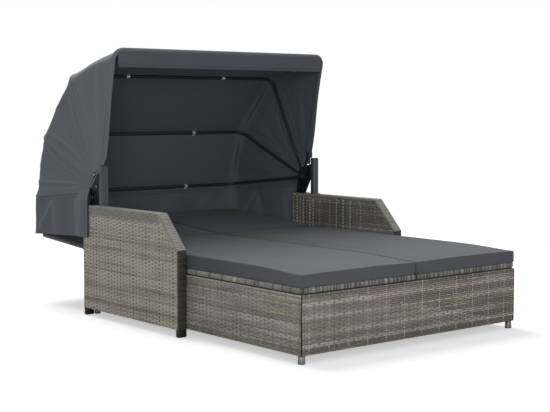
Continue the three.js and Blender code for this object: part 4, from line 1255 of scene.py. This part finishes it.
def makeGore(name, k, node, bows, bodies):
    front, rear = (np.array(bowCorners[word]) for word in bows)
    first = math.atan2(canopy["front"][1], canopy["front"][0])
    spread = first - math.atan2(rearCorner[1], rearCorner[0])
    shares = sectionShares()
    middleOfBend = canopy["sideShare"] + canopy["bendShare"] / 2
    halfWidth = canopy["halfWidth"]
    chord = np.linalg.norm(front - rear)
    rowsFrom, rowCount = gore["rows"]
    places = gore["nearBow"] + list(np.linspace(rowsFrom, chord - rowsFrom, rowCount))
    places += [chord - place for place in reversed(gore["nearBow"])]
    grid = np.zeros((len(places), len(shares), 3))
    turning = np.zeros_like(grid)
    tones = np.ones_like(grid)
    inside = np.ones_like(grid)
    for r, place in enumerate(places):
        v = place / chord
        edge = front + (rear - front) * v
        reach, angle = math.hypot(*edge), math.atan2(edge[1], edge[0])
        low = np.interp(first - angle, (0, spread), (canopy["cutoutFront"], canopy["cutoutRear"]))
        wave = math.sin(v * math.pi) ** 2
        toBow = min(v, 1 - v) * chord
        step = canopy["step"] * (1 - bell(toBow, canopy["stepWidth"]))
        seam = seamTone(k, v * chord, toBow)
        turning[r] = (0, -math.sin(angle), math.cos(angle))
        for c, share in enumerate(shares):
            x, height = canopySection(share, low, reach, canopy["bend"] * (1 - gore["tighter"] * wave))
            fromSide = smoothStep(halfWidth - abs(x), 0, canopy["bend"] * 3)
            topness = float(smoothStep(height, low, reach) * fromSide)
            sideness = float(smoothStep(height, low, reach * 0.5)) * (1 - topness)
            sideness *= float(smoothStep(abs(x), halfWidth / 2, halfWidth))
            uneven = gore["even"] + sum(sideNoise(k, v, height, x, gore[kind]) for kind in ("crease", "fine"))
            inward = (step * gore["sideStep"] + canopy["sideSag"] * uneven * wave) * sideness
            tall = (height - low) / (reach - low)
            fold = sum(rise * bell(v - deep - (high - deep) * tall, width)
                       for high, deep, width, rise in gore["ridges"][k])
            fold *= wave ** 0.25 * sideness * min(tall * 2, 1)
            toBend = min(share, 1 - share) - middleOfBend
            atBend = bell(toBend, gore["bendWidth"])
            pull = canopy["bendSag"] * wave * atBend
            across, along, apart, part = gore["roll"]
            roll = part * noise.noise(Vector((x * across, v * along, k * apart)))
            sunk = (step + canopy["sag"] * (1 + roll) * wave) * topness
            sunk += pull + step * gore["bendStep"] * atBend
            shift = max(inward - fold + pull, -gore["proud"])
            grid[r, c] = (x - math.copysign(1, x) * shift, pivotY + (height - sunk) * math.cos(angle),
                          pivotZ + (height - sunk) * math.sin(angle))
            # painted highlight on the ridges of the sides
            ridged = 1 + gore["ridgeLight"] * fold
            tones[r, c] = seam * edgingTone(height - low) * ridged * (gore["frontTone"] if k == 0 else 1)
            # painted shade on the inside, darker along the bends
            dark, width = gore["insideBend"]
            inside[r, c] = np.array(gore["inside"]) * (1 - dark * wave * bell(toBend, width))
    piece = makeSheet(name, grid, tones, canopy["thickness"], None, node, inside, turning)
    start = (0, pivotY + front[0], pivotZ + front[1])
    end = (0, pivotY + rear[0], pivotZ + rear[1])
    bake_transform(piece, bodies[0], bodies[1], start=start, end=end)
    width, length, area = flatSize(grid)


valance = {
    "columns": 120,
    "rows": 12,
    "stand": 0.0012,
    "waves": [(0.0016, 7 * math.pi, 0), (0.0008, 61, 1)],  # height, pace and start
    "hem": (0.14, 0.0005),  # share of its height, and how far it stands out
    "stitchRow": 2,
    "stitchTone": 0.72,
    "tone": (0.79, 0.73, 0.79),
}


def makeValance():
    low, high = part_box("valance")
    across = np.linspace(0, 1, valance["columns"] + 1)
    up = np.linspace(0, 1, valance["rows"] + 1)
    waves = sum(rise * np.sin(across * pace + start) for rise, pace, start in valance["waves"])
    hemShare, hemRise = valance["hem"]
    hem = np.where(up < hemShare, hemRise, 0)
    grid = np.zeros((len(up), len(across), 3))
    grid[:, :, 0] = low.x + (high.x - low.x) * across
    grid[:, :, 1] = high.y - canopy["thickness"] - valance["stand"] - np.outer(1 - up, waves) - hem[:, None]
    grid[:, :, 2] = (low.z + (high.z - low.z) * up)[:, None]
    tones = np.ones_like(grid) * valance["tone"]
    tones[valance["stitchRow"]] *= valance["stitchTone"]
    piece = makeSheet("valanceCloth", grid, tones, canopy["thickness"], "front_hoop", "valance")


# Bow tubes with flattened ends that stack on the pivot bolts

bows = {
    "tube": 0.016,
    "bend": 0.045,
    "tab": 0.003,
    "tabGap": 0.0005,
    "top": 0.0097,  # cloth to the middle of the tube, on top and at the sides
    "side": 0.0088,
    "tabHeights": (-0.0079, 0, 0.05, 0.071, 0.086, 0.104),
    "spread": 0.046,  # over this height a leg goes from its tab out to the side
    "legFrom": 0.17,
    "rounding": (0.098, 0.135),  # where the flat tab turns into the round tube
    "squareness": 0.35,
    "corners": 24,
    "steps": {"spread": 10, "leg": 8, "bend": 12, "top": 14},
    "sharp": 50,  # degrees
}
webInner = abs(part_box("right_pivot_bracket")[0].x) + 0.01165  # the bracket's face that the tabs stack from


def makeBow(word, corner, layer, body):
    reach, angle = math.hypot(*corner), math.atan2(corner[1], corner[0])
    height = reach - bows["top"]
    half = canopy["halfWidth"] - bows["side"]
    bend, tabTop, steps = bows["bend"], bows["tabHeights"][-1], bows["steps"]
    tabMiddle = webInner - bows["tabGap"] - layer * (bows["tab"] + bows["tabGap"]) - bows["tab"] / 2
    right = [(tabMiddle, h) for h in bows["tabHeights"]]
    right += [(tabMiddle + (half - tabMiddle) * float(smoothStep(t, 0, 1)), tabTop + bows["spread"] * t)
              for t in np.linspace(0.1, 1, steps["spread"])]
    right += [(half, h) for h in np.linspace(bows["legFrom"], height - bend, steps["leg"])]
    right += [(half - bend + bend * math.cos(t), height - bend + bend * math.sin(t))
              for t in np.linspace(0.1, math.pi / 2, steps["bend"])]
    line = right + [(x, height) for x in np.linspace(half - bend, bend - half, steps["top"])[1:-1]]
    line = np.array(line + [(-x, h) for x, h in reversed(right)])
    step = np.gradient(line, axis=0)
    step /= np.linalg.norm(step, axis=1, keepdims=True)
    upward = np.array((0, math.cos(angle), math.sin(angle)))
    sideways = np.array((0, -math.sin(angle), math.cos(angle)))
    path = np.array([(x, pivotY, pivotZ) + upward * h for x, h in line])
    outward = np.array([np.array((s[1], 0, 0)) - upward * s[0] for s in step])
    across = np.tile(sideways, (len(path), 1))
    roundness = smoothStep(line[:, 1], *bows["rounding"])
    deep = bows["tab"] / 2 + (bows["tube"] / 2 - bows["tab"] / 2) * roundness
    circle = ellipse(1, 1, bows["corners"])
    squared = np.sign(circle[:, 1]) * np.abs(circle[:, 1]) ** bows["squareness"]
    wide = circle[:, 0] * bows["tube"] / 2
    sections = np.stack([np.stack([wide, (circle[:, 1] * r + squared * (1 - r)) * d], -1)
                         for r, d in zip(roundness, deep)])
    bundle = newBundle()
    addStrip(bundle, path, across, outward, sections, (1, 1, 1))
    piece = pieceFromBundle(f"{word}BowTube", bundle, "tube", body, "tube")
    piece.data.set_sharp_from_angle(angle=math.radians(bows["sharp"]))
    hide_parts(f"{word}_bow")
    if word == "front":
        makeFrontHem(path, across, outward, line[:, 1])
    return angle, height


frontHem = {
    "from": 0.07,
    "corners": 26,
    "radius": 0.0094,
    "flap": 0.024,
    # height above the pivot and the flap's width there, which passes behind and then over the upright's top
    "flaps": [(0.071, 0.0140), (0.086, 0.0148), (0.104, 0.0104), (0.1086, 0.0206), (0.1137, 0.0240)],
    "flapEnds": (0.19, 0.5),
    "flapThinner": 0.75,
    # flapLight paints light on the side that faces ahead, rightTone paints shade on the right end
    "flapLight": 0.15,
    "thickness": 0.0007,
    "flatHalf": 0.0012,
    "flatPlace": 0.6148,
    "flatEnds": (0.106, 0.145),
    "rightFrom": 0.95,  # share of the half width
    "rightTone": 0.6,
}


def makeFrontHem(path, across, outward, heights):
    # The sleeve that holds the front bow, wider towards the pivots
    rows = [k for k in range(len(path)) if heights[k] > frontHem["from"]]
    turns = np.linspace(-math.pi, math.pi, frontHem["corners"])[1:-1]
    radius = frontHem["radius"]
    grid = np.zeros((len(rows), len(turns), 3))
    tones = np.ones_like(grid)
    for r, k in enumerate(rows):
        flat = 1 - float(smoothStep(heights[k], *frontHem["flatEnds"]))
        wide = np.interp(heights[k], *zip(*frontHem["flaps"]))
        wide = float(wide * (1 - smoothStep(heights[k], *frontHem["flapEnds"])))
        deep = radius * (1 - flat) + frontHem["flatHalf"] * flat
        middle = path[k].copy()
        middle[0] += (math.copysign(frontHem["flatPlace"], middle[0]) - middle[0]) * flat
        onRight = middle[0] > canopy["halfWidth"] * frontHem["rightFrom"]
        for c, turn in enumerate(turns):
            ahead = max(math.cos(turn), 0)
            thin = 1 - frontHem["flapThinner"] * ahead * wide / frontHem["flap"]
            grid[r, c] = (middle + across[k] * (radius * math.cos(turn) + wide * ahead)
                          + outward[k] * deep * math.sin(turn) * thin)
            # painted light on the side facing ahead, painted shade on the right end of the sleeve
            tones[r, c] = (1 + frontHem["flapLight"] * ahead) * (frontHem["rightTone"] if onRight else 1)
    hem = makeSheet("frontHemCloth", grid, tones, -frontHem["thickness"], "front_hoop")


clip = {
    "width": 0.018,
    "sheet": 0.0026,
    "loose": 0.0003,
    "reach": 112,  # degrees each way round the tube
    "lean": 38,
    "lip": 0.005,
    "steps": 25,
    "front": 0.9,  # share of its width that the front keeps
}


def makeClip(word, end, angle, height, body):
    # A pale clip sprung round the tube, open at the back
    up = np.array((0, math.cos(angle), math.sin(angle)))
    ahead = np.array((0, -math.sin(angle), math.cos(angle)))
    low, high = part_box(f"{word}_bow_{end}_snap")
    middle = np.array(((low.x + high.x) / 2, pivotY, pivotZ)) + up * height
    radius = bows["tube"] / 2 + clip["loose"] + clip["sheet"] / 2
    turns = np.radians(np.linspace(-clip["reach"], clip["reach"], clip["steps"]) + clip["lean"])
    normals = np.array([-up * math.cos(t) + ahead * math.sin(t) for t in turns])
    path = middle + normals * radius
    lips = [path[k] + normals[k] * clip["lip"] for k in (0, -1)]
    path = np.concatenate([lips[:1], path, lips[1:]])
    normals = np.concatenate([normals[:1], normals, normals[-1:]])
    half, thin = clip["width"] / 2, clip["sheet"] / 2
    front = half * clip["front"]
    section = [(-half, -thin), (-front, thin), (front, thin), (half, -thin)]
    bundle = newBundle()
    addStrip(bundle, path, np.tile((1.0, 0, 0), (len(path), 1)), normals, section, (1, 1, 1))
    piece = pieceFromBundle(f"{word}{end.title()}Clip", bundle, "snap", body, "snap")
    piece.data.set_sharp_from_angle(angle=math.radians(45))
    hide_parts(f"{word}_bow_{end}_snap")


opening = {
    # the bound edge of the cloth beside a pivot, and the flap behind it, in Y and Z from the pivot
    "edge": [(-0.0200, 0.0760), (-0.0090, 0.0638), (0.0025, 0.0503), (0.0157, 0.0357), (0.0290, 0.0216),
             (0.0433, 0.0069), (0.0575, -0.0078)],
    "smoothing": 6,
    "width": 0.0062,
    "proud": 0.001,  # how far the binding lies outside the flap
    "tone": (1.5, 1.5, 1.55),
    "binding": 0.0012,
    "place": 0.6176,
    "thickness": 0.001,
    "outer": 0.0628,
    # degrees round the pivot, and the inner edge's distance from it
    "flap": [(-8, 0.0580), (0, 0.0500), (9.1, 0.0438), (22, 0.0388), (36.6, 0.0362), (50, 0.0368),
             (57, 0.0380)],
    "flapTones": [0.3, 0.3, 0.3, 0.35, 0.9, 1, 1, 1, 1],  # from the inner edge out, the dark ones are painted shadow at the cut edge
    "steps": 40,
    "ring": {"from": 76, "to": 103, "reach": 0.0595, "width": 0.0066, "tone": (0.8, 0.8, 0.8), "steps": 14},
}


def makeOpening(word, side):
    # Cloth round the pivot that stays with the bracket: a flap, a short ring and a pale binding along an edge
    angles, distances = zip(*opening["flap"])
    turns = np.linspace(angles[0], angles[-1], opening["steps"])
    inner = np.interp(turns, angles, distances)
    columns = len(opening["flapTones"])
    grid = np.zeros((len(turns), columns, 3))
    for r, (turn, start) in enumerate(zip(np.radians(turns), inner)):
        reach = np.linspace(start, opening["outer"], columns)
        grid[r] = np.column_stack([np.full(columns, side * opening["place"]), pivotY + reach * math.cos(turn),
                                   pivotZ + reach * math.sin(turn)])
    shades = np.array(opening["flapTones"])[::-side]
    tones = np.tile(shades[None, :, None], (len(turns), 1, 3))
    piece = makeSheet(f"{word}OpeningFlap", grid[:, ::-side], tones, opening["thickness"], "bed")
    bundle = newBundle()

    def bind(line, place, width, tone):
        along = np.gradient(line, axis=0)
        along /= np.linalg.norm(along, axis=1, keepdims=True)
        path = np.column_stack([np.full(len(line), side * place), pivotY + line[:, 0], pivotZ + line[:, 1]])
        across = np.column_stack([np.zeros(len(line)), -along[:, 1], along[:, 0]])
        outward = np.tile((float(side), 0, 0), (len(line), 1))
        addStrip(bundle, path, across, outward, flatStrip(width, opening["binding"]), tone)

    edge = np.array(opening["edge"])
    steps = np.concatenate([[0], np.cumsum(np.linalg.norm(np.diff(edge, axis=0), axis=1))])
    spots = np.linspace(0, steps[-1], opening["steps"])
    line = np.stack([np.interp(spots, steps, edge[:, axis]) for axis in (0, 1)], -1)
    for _ in range(opening["smoothing"]):
        line[1:-1] = (line[:-2] + line[1:-1] * 2 + line[2:]) / 4
    bind(line, opening["place"] + opening["proud"], opening["width"], opening["tone"])
    ring = opening["ring"]
    turns = np.radians(np.linspace(ring["from"], ring["to"], ring["steps"]))
    around = np.column_stack([np.cos(turns), np.sin(turns)]) * ring["reach"]
    bind(around, opening["place"], ring["width"], ring["tone"])
    pieceFromBundle(f"{word}OpeningBinding", bundle, "canopy", "bed", "canopy_fabric")


collar = {"width": 0.004, "stand": 0.0005}


def makeCollars(word, angle, height, body):
    # A pale ring where each cross tube starts to bend
    up = np.array((0, math.cos(angle), math.sin(angle)))
    ahead = np.array((0, -math.sin(angle), math.cos(angle)))
    radius = bows["tube"] / 2 + collar["stand"]
    section = ellipse(radius, radius, bows["corners"])
    bundle = newBundle()
    for side in (-1, 1):
        place = side * (canopy["halfWidth"] - bows["side"] - bows["bend"])
        places = (place, place + side * collar["width"])
        path = np.array([(x, pivotY, pivotZ) + up * height for x in places])
        addStrip(bundle, path, np.tile(ahead, (2, 1)), np.tile(up, (2, 1)), section, (1, 1, 1))
    piece = pieceFromBundle(f"{word}BowCollars", bundle, "dullSteel", body, "bolt_steel")
    piece.data.set_sharp_from_angle(angle=math.radians(45))


bowBodies = {"front": "front_hoop", "second": "second_hoop", "third": "third_hoop", "rear": "bed"}
for layer, (word, body) in enumerate(bowBodies.items()):
    angle, height = makeBow(word, bowCorners[word], layer, body)
    if word != "front":
        for end in sides:
            makeClip(word, end, angle, height, body)
        makeCollars(word, angle, height, body)
goreNames = ("frontGoreCloth", "middleGoreCloth", "rearGoreCloth")
for k, (name, node) in enumerate(zip(goreNames, ("front_gore", "middle_gore", "rear_gore"))):
    makeGore(name, k, node, list(bowBodies)[k:k + 2], list(bowBodies.values())[k:k + 2])
makeValance()
for word, side in sides.items():
    makeOpening(word, side)
say("canopy")


# Skirt round the rear bow

skirt = {
    # rear of the base to the front edge: at its top, where it has passed the armrest, and at its foot
    "frontTop": -0.021,
    "frontMiddle": -0.052,
    "frontBottom": -0.056,
    "hemFront": 0.229,
    "hemRear": 0.258,
    "topDrop": 0.0006,
    "flare": 0.010,
    "armGap": 0.0018,
    "armFade": 0.11,
    "corner": 0.055,
    # folds: place at the top seam and at the hem, as a share of half the skirt, width and height
    "folds": [(0.14, 0.11, 0.030, 0.009), (0.24, 0.22, 0.030, -0.004), (0.35, 0.31, 0.028, 0.007),
              (0.345, 0.50, 0.022, 0.007), (0.43, 0.40, 0.030, -0.003), (0.60, 0.64, 0.040, 0.006),
              (0.70, 0.72, 0.035, 0.006), (0.80, 0.78, 0.040, -0.005), (0.88, 0.90, 0.040, 0.007)],
    "foldWidth": (0.6, 0.6),  # of the given width at the seam, and how much more at the hem
    "foldRise": (4, 0.4),  # how fast a fold starts below the seam, and what it loses down to the hem
    "sideShare": 0.5,  # of half the skirt that the side takes, and the corner
    "cornerShare": 0.08,
    "columns": (91, 19, 61),
    "rows": 60,
    "flareRate": 3.7,
    "sleeve": 0.11,  # share of the drop that the sleeve round the bow takes
    "seam": 0.165,
    "topLine": 0.01,
    "bulge": (0.006, 0.05),  # how far the sleeve stands out, and the share of the drop where it does so fully
    "tuck": (0.001, 0.02),
    "rightLower": 0.024,
    "fan": {"rise": 0.004, "less": 0.25, "round": 9, "lean": 1.2, "down": 1.1, "place": 2.0, "ends": 0.6},
    "fine": {"rise": 0.0012, "round": 34, "down": 4},
    "armOuter": 0.6434,
    "tone": (0.86, 0.83, 0.88),
    "lineTone": (0.3, 0.012),
    "foldLight": 16,
    "edgeTones": [0.2, 0.2, 1.3],  # of the columns from the front edge: the two dark ones are painted shadow of the gap beside the armrest
}


def skirtFold(s, below):
    # The folds lean from their place at the seam to the one at the hem
    narrow, more = skirt["foldWidth"]
    rate, loss = skirt["foldRise"]
    fold = sum(rise * bell(s - top - (hem - top) * below, width * (narrow + more * below))
               for top, hem, width, rise in skirt["folds"])
    return fold * min(below * rate, 1) * (1 - loss * below)


def makeSkirt():
    rearPlace = pivotY + rearCorner[0]
    slope = rearCorner[1] / rearCorner[0]
    halfWidth, corner, seam = canopy["halfWidth"], skirt["corner"], skirt["seam"]
    frontTop, frontMiddle = rearY + skirt["frontTop"], rearY + skirt["frontMiddle"]
    frontBottom = rearY + skirt["frontBottom"]
    armFlare = skirt["armOuter"] + canopy["thickness"] + skirt["armGap"] - halfWidth
    sideEnd = rearPlace - corner
    sideShare, cornerShare = skirt["sideShare"], skirt["cornerShare"]
    turned = sideShare + cornerShare
    ends = (0, sideShare, turned, 1)
    runs = [np.linspace(start, end, count) for start, end, count in zip(ends, ends[1:], skirt["columns"])]
    shares = np.concatenate([runs[0], runs[1][1:], runs[2][1:]])
    shares = np.concatenate([shares, 2 - shares[-2::-1]])
    rows = skirt["rows"]
    fan, fine = skirt["fan"], skirt["fine"]
    (bulge, bulgeEnd), (tuck, tuckWidth) = skirt["bulge"], skirt["tuck"]
    grid = np.zeros((rows + 1, len(shares), 3))
    tones = np.ones_like(grid)
    for c, raw in enumerate(shares):
        side = -1 if raw <= 1 else 1
        s = min(raw, 2 - raw)
        fromEdge = min(c, len(shares) - 1 - c)
        edgeTone = skirt["edgeTones"][fromEdge] if fromEdge < len(skirt["edgeTones"]) else 1
        for r in range(rows + 1):
            drop = r / rows
            fold = skirtFold(s, max(drop - seam, 0) / (1 - seam))
            flared = math.sin(min(drop * skirt["flareRate"], 1) * math.pi / 2)
            if s <= sideShare:
                front = frontTop + (frontMiddle - frontTop) * flared + (frontBottom - frontMiddle) * drop
                x, y = side * halfWidth, front * (1 - s / sideShare) + sideEnd * s / sideShare
                outX, outY = side, 0
            else:
                turn = min((s - sideShare) / cornerShare, 1) * math.pi / 2
                flat = max(s - turned, 0) / (1 - turned)
                cornerX = halfWidth - corner + corner * math.cos(turn)
                x, y = side * cornerX * (1 - flat), sideEnd + corner * math.sin(turn)
                outX, outY = side * math.cos(turn), math.sin(turn)
            top = pivotZ + (y - pivotY) * slope - skirt["topDrop"]
            share = (y - frontBottom) / (rearPlace - frontBottom)
            hem = pivotZ - (skirt["hemFront"] + (skirt["hemRear"] - skirt["hemFront"]) * share)
            hem -= skirt["rightLower"] * (1 - share) * max(side, 0)
            nearArm = 1 - float(smoothStep(y, rearY, rearY + skirt["armFade"]))
            sleeve = bulge * float(smoothStep(drop, 0, bulgeEnd))
            sleeve -= tuck * bell(drop - skirt["sleeve"], tuckWidth)
            spot = Vector((s * fan["round"] + drop * fan["lean"], drop * fan["down"], fan["place"] + side))
            spread = fan["rise"] * (noise.noise(spot) - fan["less"])
            stand = (skirt["flare"] - bulge) * drop + fold * (1 - nearArm * abs(outX))
            stand += sleeve * (1 - nearArm) + armFlare * nearArm * abs(outX) * flared
            stand += spread * math.sin(drop * math.pi * fan["ends"]) * (1 - nearArm)
            stand += fine["rise"] * noise.noise(Vector((s * fine["round"], drop * fine["down"], side))) * drop
            grid[r, c] = (x + outX * stand, y + outY * stand, top + (hem - top) * drop)
            dark, narrow = skirt["lineTone"]
            lines = sum(bell(drop - line, narrow) for line in (skirt["topLine"], skirt["sleeve"], seam))
            # painted highlight on folds that stand out, painted shade on those that sink
            light = (1 - dark * lines) * (1 + skirt["foldLight"] * fold) * edgeTone
            tones[r, c] = np.array(skirt["tone"]) * light
    piece = makeSheet("skirtCloth", grid, tones, canopy["thickness"], "bed", "skirt")


makeSkirt()
say("skirt")


# Pads: each swells a little under its cover, then gets its seam

padRules = {
    "spacing": 0.009,
    "round": 0.006,
    "roundLines": (0, 0.3, 0.65),  # lines of points across the rounding, as shares of it
    "frames": 20,
    "pressure": 4.0,
    "quality": 4,
    "fill": 0.75,
    "shrink": (0.0016, 0.0016, 0.0045),
    "under": {"seat": 0.0006, "back": 0.0018},  # room under the pads for the wrapped frames
    "capSide": 0.0012,
    "capTop": 0.004,
    "frontDrop": (0.007, 0.3),  # how far the top sinks to the front edge, and over what length
    "cornerDrop": (0.003, 0.12),
    "crown": 0.12,  # the swelling grows over this distance from the edges
    "atEdge": 0.1,  # share of it that is there at an edge
    "rises": (0.05, 0.5),  # and where it begins and is whole, up a pad
    "inside": 0.0002,  # how far the pads stay inside their nodes
    # painted shade, from the front edge: where the seat pads and the back pads are darkened towards the
    # canopy, and how much
    "shadeFade": {"from": -0.1, "to": 0.85, "depth": 0.40, "left": 0.05, "leftWidth": 0.35},
    "backShadeFade": {"from": 1.38, "to": 2.0, "depth": 0.45},
    # painted shade: the back pads' tone is darker and cooler
    "backTone": (0.62, 0.72, 0.79),
    "backSide": {"reach": 0.004, "under": 0.85, "darker": (0.6, 0.6, 0.68)},  # the back pads' outer faces, darkened as painted shade
}
welt = {
    "wide": 0.0014,
    "high": 0.0008,
    "corners": 8,
    "step": 0.01,
    "raised": 0.0002,
    "far": 0.03,  # from where the seam's line is dropped onto the pad
    "roundPoints": 5,
    "probe": (0.012, 0.05),  # inside the edge and above the top, from where the pad's height is found
    "tone": 0.96,
    "cornerTone": 0.6,
    "cornerPoints": 8,
    "cornerEnds": 0.006,
}


def roundedBox(low, high, radius, spacing):
    # A closed box of even quads, finer along its rounded edges
    margin = radius * np.array(padRules["roundLines"])
    lines = []
    for axis in range(3):
        count = max(round((high[axis] - low[axis]) / spacing), 4)
        inner = np.linspace(low[axis] + radius, high[axis] - radius, count + 1)
        lines.append(np.concatenate([low[axis] + margin, inner, high[axis] - margin[::-1]]))
    shell = np.zeros([len(line) for line in lines], bool)
    for axis in range(3):
        for end in (0, -1):
            np.moveaxis(shell, axis, 0)[end] = True
    ids = np.full(shell.shape, -1)
    ids[shell] = np.arange(shell.sum())
    places = np.stack(np.meshgrid(*lines, indexing="ij"), -1)[shell]
    core = np.clip(places, low + radius, high - radius)
    away = places - core
    points = core + away / np.linalg.norm(away, axis=1, keepdims=True) * radius
    faces = []
    for axis in range(3):
        for end in (0, -1):
            side = np.moveaxis(ids, axis, 0)[end]
            quads = np.stack([side[:-1, :-1], side[1:, :-1], side[1:, 1:], side[:-1, 1:]], -1).reshape(-1, 4)
            faces.append(quads if (end == -1) == (axis != 1) else quads[:, ::-1])
    return points, np.concatenate(faces)


def applyModifiers(piece):
    graph = bpy.context.evaluated_depsgraph_get()
    mesh = bpy.data.meshes.new_from_object(piece.evaluated_get(graph))
    old = piece.data
    piece.modifiers.clear()
    piece.data = mesh
    bpy.data.meshes.remove(old)


def padCoords(piece):
    coords = np.zeros(len(piece.data.vertices) * 3, np.float32)
    piece.data.vertices.foreach_get("co", coords)
    return coords.reshape(-1, 3).astype(float)


def seatSink(start, low, high):
    # The top sinks to the front edge and a little at each corner
    drop, reach = padRules["frontDrop"]
    sink = drop * (1 - smoothStep(start[:, 1] - low[1], 0, reach))
    drop, reach = padRules["cornerDrop"]
    toCorner = np.linalg.norm(np.minimum(start - low, high - start)[:, :2], axis=1)
    return sink + drop * np.exp(-(toCorner / reach) ** 2)


def backTones(start, level, low, high):
    side, shadeFade = padRules["backSide"], padRules["backShadeFade"]
    # painted shade: the back pads are darker and cooler, more so towards the rear and on their outer faces
    outward = start[:, 0] * np.sign(low[0] + high[0])
    outer = (outward > outward.max() - side["reach"]) & (level < side["under"])
    shade = 1 - shadeFade["depth"] * smoothStep(start[:, 1], frontY + shadeFade["from"], frontY + shadeFade["to"])
    return padRules["backTone"] * (1 - outer[:, None] * np.array(side["darker"])) * shade[:, None]


def makePad(node, name, body, tilt):
    untilt = tiltPlace(-math.radians(tilt))
    retilt = tiltPlace(math.radians(tilt))
    solid = np.array([untilt(v.co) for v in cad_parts[node].data.vertices])
    low, high = solid.min(axis=0), solid.max(axis=0)
    shrink = np.array(padRules["shrink"])
    under = padRules["under"]["back" if tilt else "seat"]
    start, faces = roundedBox(low + (shrink[0], shrink[1], under), high - shrink, padRules["round"],
                              padRules["spacing"])
    piece = makePiece(name, start, faces, "pad", body, "pad_fabric")
    swell = piece.modifiers.new("swell", "CLOTH").settings
    swell.use_pressure = True
    swell.uniform_pressure_force = padRules["pressure"]
    swell.effector_weights.gravity = 0
    swell.quality = padRules["quality"]
    scene = bpy.context.scene
    for step in range(1, padRules["frames"] + 1):
        scene.frame_set(step)
    applyModifiers(piece)
    scene.frame_set(1)
    caps = np.array([padRules["capSide"], padRules["capSide"], padRules["capTop"]])
    move = caps * np.tanh((padCoords(piece) - start) / caps)
    level = (start[:, 2] - low[2]) / (high[2] - low[2])
    toEdge = np.minimum(start - low, high - start)[:, :2].min(axis=1)
    crowned = padRules["atEdge"] + (1 - padRules["atEdge"]) * smoothStep(toEdge, 0, padRules["crown"])
    move[:, 2] *= smoothStep(level, *padRules["rises"]) * crowned
    coords = np.clip(start + move, low + padRules["inside"], high - padRules["inside"])
    if tilt:
        setTones(piece, backTones(start, level, low, high))
    else:
        coords[:, 2] -= seatSink(start, low, high) * np.clip(level, 0, 1)
        # painted shade: the seat pads darken towards the canopy and towards the left armrest
        shadeFade = padRules["shadeFade"]
        shade = 1 - shadeFade["depth"] * smoothStep(start[:, 1], frontY + shadeFade["from"], frontY + shadeFade["to"])
        shade -= shadeFade["left"] * (1 - smoothStep(start[:, 0] + halfBed, 0, shadeFade["leftWidth"]))
        setTones(piece, shade[:, None])
    placed = np.array([retilt(p) for p in coords])
    piece.data.vertices.foreach_set("co", placed.ravel())
    piece.data.update()
    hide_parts(node)
    addWelt(piece, coords, f"{name}Welt", body, low, high, retilt)


def addWelt(pad, coords, name, body, low, high, retilt):
    # A thin seam along the top edge and down the four corners, laid on the cushion as it came out
    tree = BVHTree.FromPolygons([Vector(p) for p in coords], [tuple(f.vertices) for f in pad.data.polygons])
    inset = padRules["shrink"][0]
    left, right, near, far = low[0] + inset, high[0] - inset, low[1] + inset, high[1] - inset
    rounding = padRules["round"]
    loop, facing = [], []
    for x, outX, y, outY, start in ((right, 1, far, 1, 0), (left, -1, far, 1, 90), (left, -1, near, -1, 180),
                                    (right, 1, near, -1, 270)):
        centre = np.array((x - outX * rounding, y - outY * rounding))
        for turn in np.radians(np.linspace(start, start + 90, welt["roundPoints"])):
            facing.append((math.cos(turn), math.sin(turn)))
            loop.append(centre + rounding * np.array(facing[-1]))
    loop, facing = np.array(loop + [loop[0]]), np.array(facing + [facing[0]])
    reach = np.concatenate([[0], np.cumsum(np.linalg.norm(np.diff(loop, axis=0), axis=1))])
    count = int(reach[-1] / welt["step"])
    spots = np.sort(np.concatenate([np.arange(count) * reach[-1] / count, reach[1:-1]]))
    places = np.stack([np.interp(spots, reach, loop[:, axis]) for axis in (0, 1)], -1)
    facing = np.stack([np.interp(spots, reach, facing[:, axis]) for axis in (0, 1)], -1)
    bundle = newBundle()
    section = ellipse(welt["wide"], welt["high"], welt["corners"])

    def lay(starts, aims, closed, tone):
        path, normals = [], []
        for start, aim in zip(starts, aims):
            hit, normal, _, _ = tree.ray_cast(Vector(start), Vector(aim).normalized())
            if hit is not None:
                path.append(hit)
                normals.append(normal)
        path, normals = np.array(path), np.array(normals)
        along = np.roll(path, -1, axis=0) - np.roll(path, 1, axis=0) if closed else np.gradient(path, axis=0)
        across = np.cross(along, normals)
        across /= np.maximum(np.linalg.norm(across, axis=1, keepdims=True), 1e-9)
        path = np.array([retilt(p) for p in path + normals * welt["raised"]])
        across = np.array([retilt(p, True) for p in across])
        normals = np.array([retilt(p, True) for p in normals])
        addStrip(bundle, path, across, normals, section, (tone,) * 3, closed)

    top = high[2] - padRules["shrink"][2]
    facing3 = np.column_stack([facing, np.ones(len(facing))])
    inside, above = welt["probe"]
    tops = [tree.ray_cast(Vector((*(p - f * inside), top + above)), Vector((0, 0, -1)))[0].z
            for p, f in zip(places, facing)]
    starts = np.column_stack([places, tops]) + facing3 * welt["far"]
    lay(starts, -facing3, True, welt["tone"])
    heights = np.linspace(low[2] + welt["cornerEnds"], top - welt["cornerEnds"], welt["cornerPoints"])
    for x, outX in ((low[0], -1), (high[0], 1)):
        for y, outY in ((low[1], -1), (high[1], 1)):
            corner = np.array((outX, outY, 0.0))
            starts = [np.array((x, y, z)) + corner * welt["far"] for z in heights]
            lay(starts, [-corner] * len(heights), False, welt["cornerTone"])
    pieceFromBundle(name, bundle, "pad", body, "pad_fabric")


for word in sides:
    makePad(f"{word}_seat_pad", f"{word}SeatPad", "bed", 0)
    makePad(f"{word}_back_pad", f"{word}BackPad", f"{word}_sliding_pad", backrest["tilt"])
say("pads")


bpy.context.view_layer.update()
say("done")
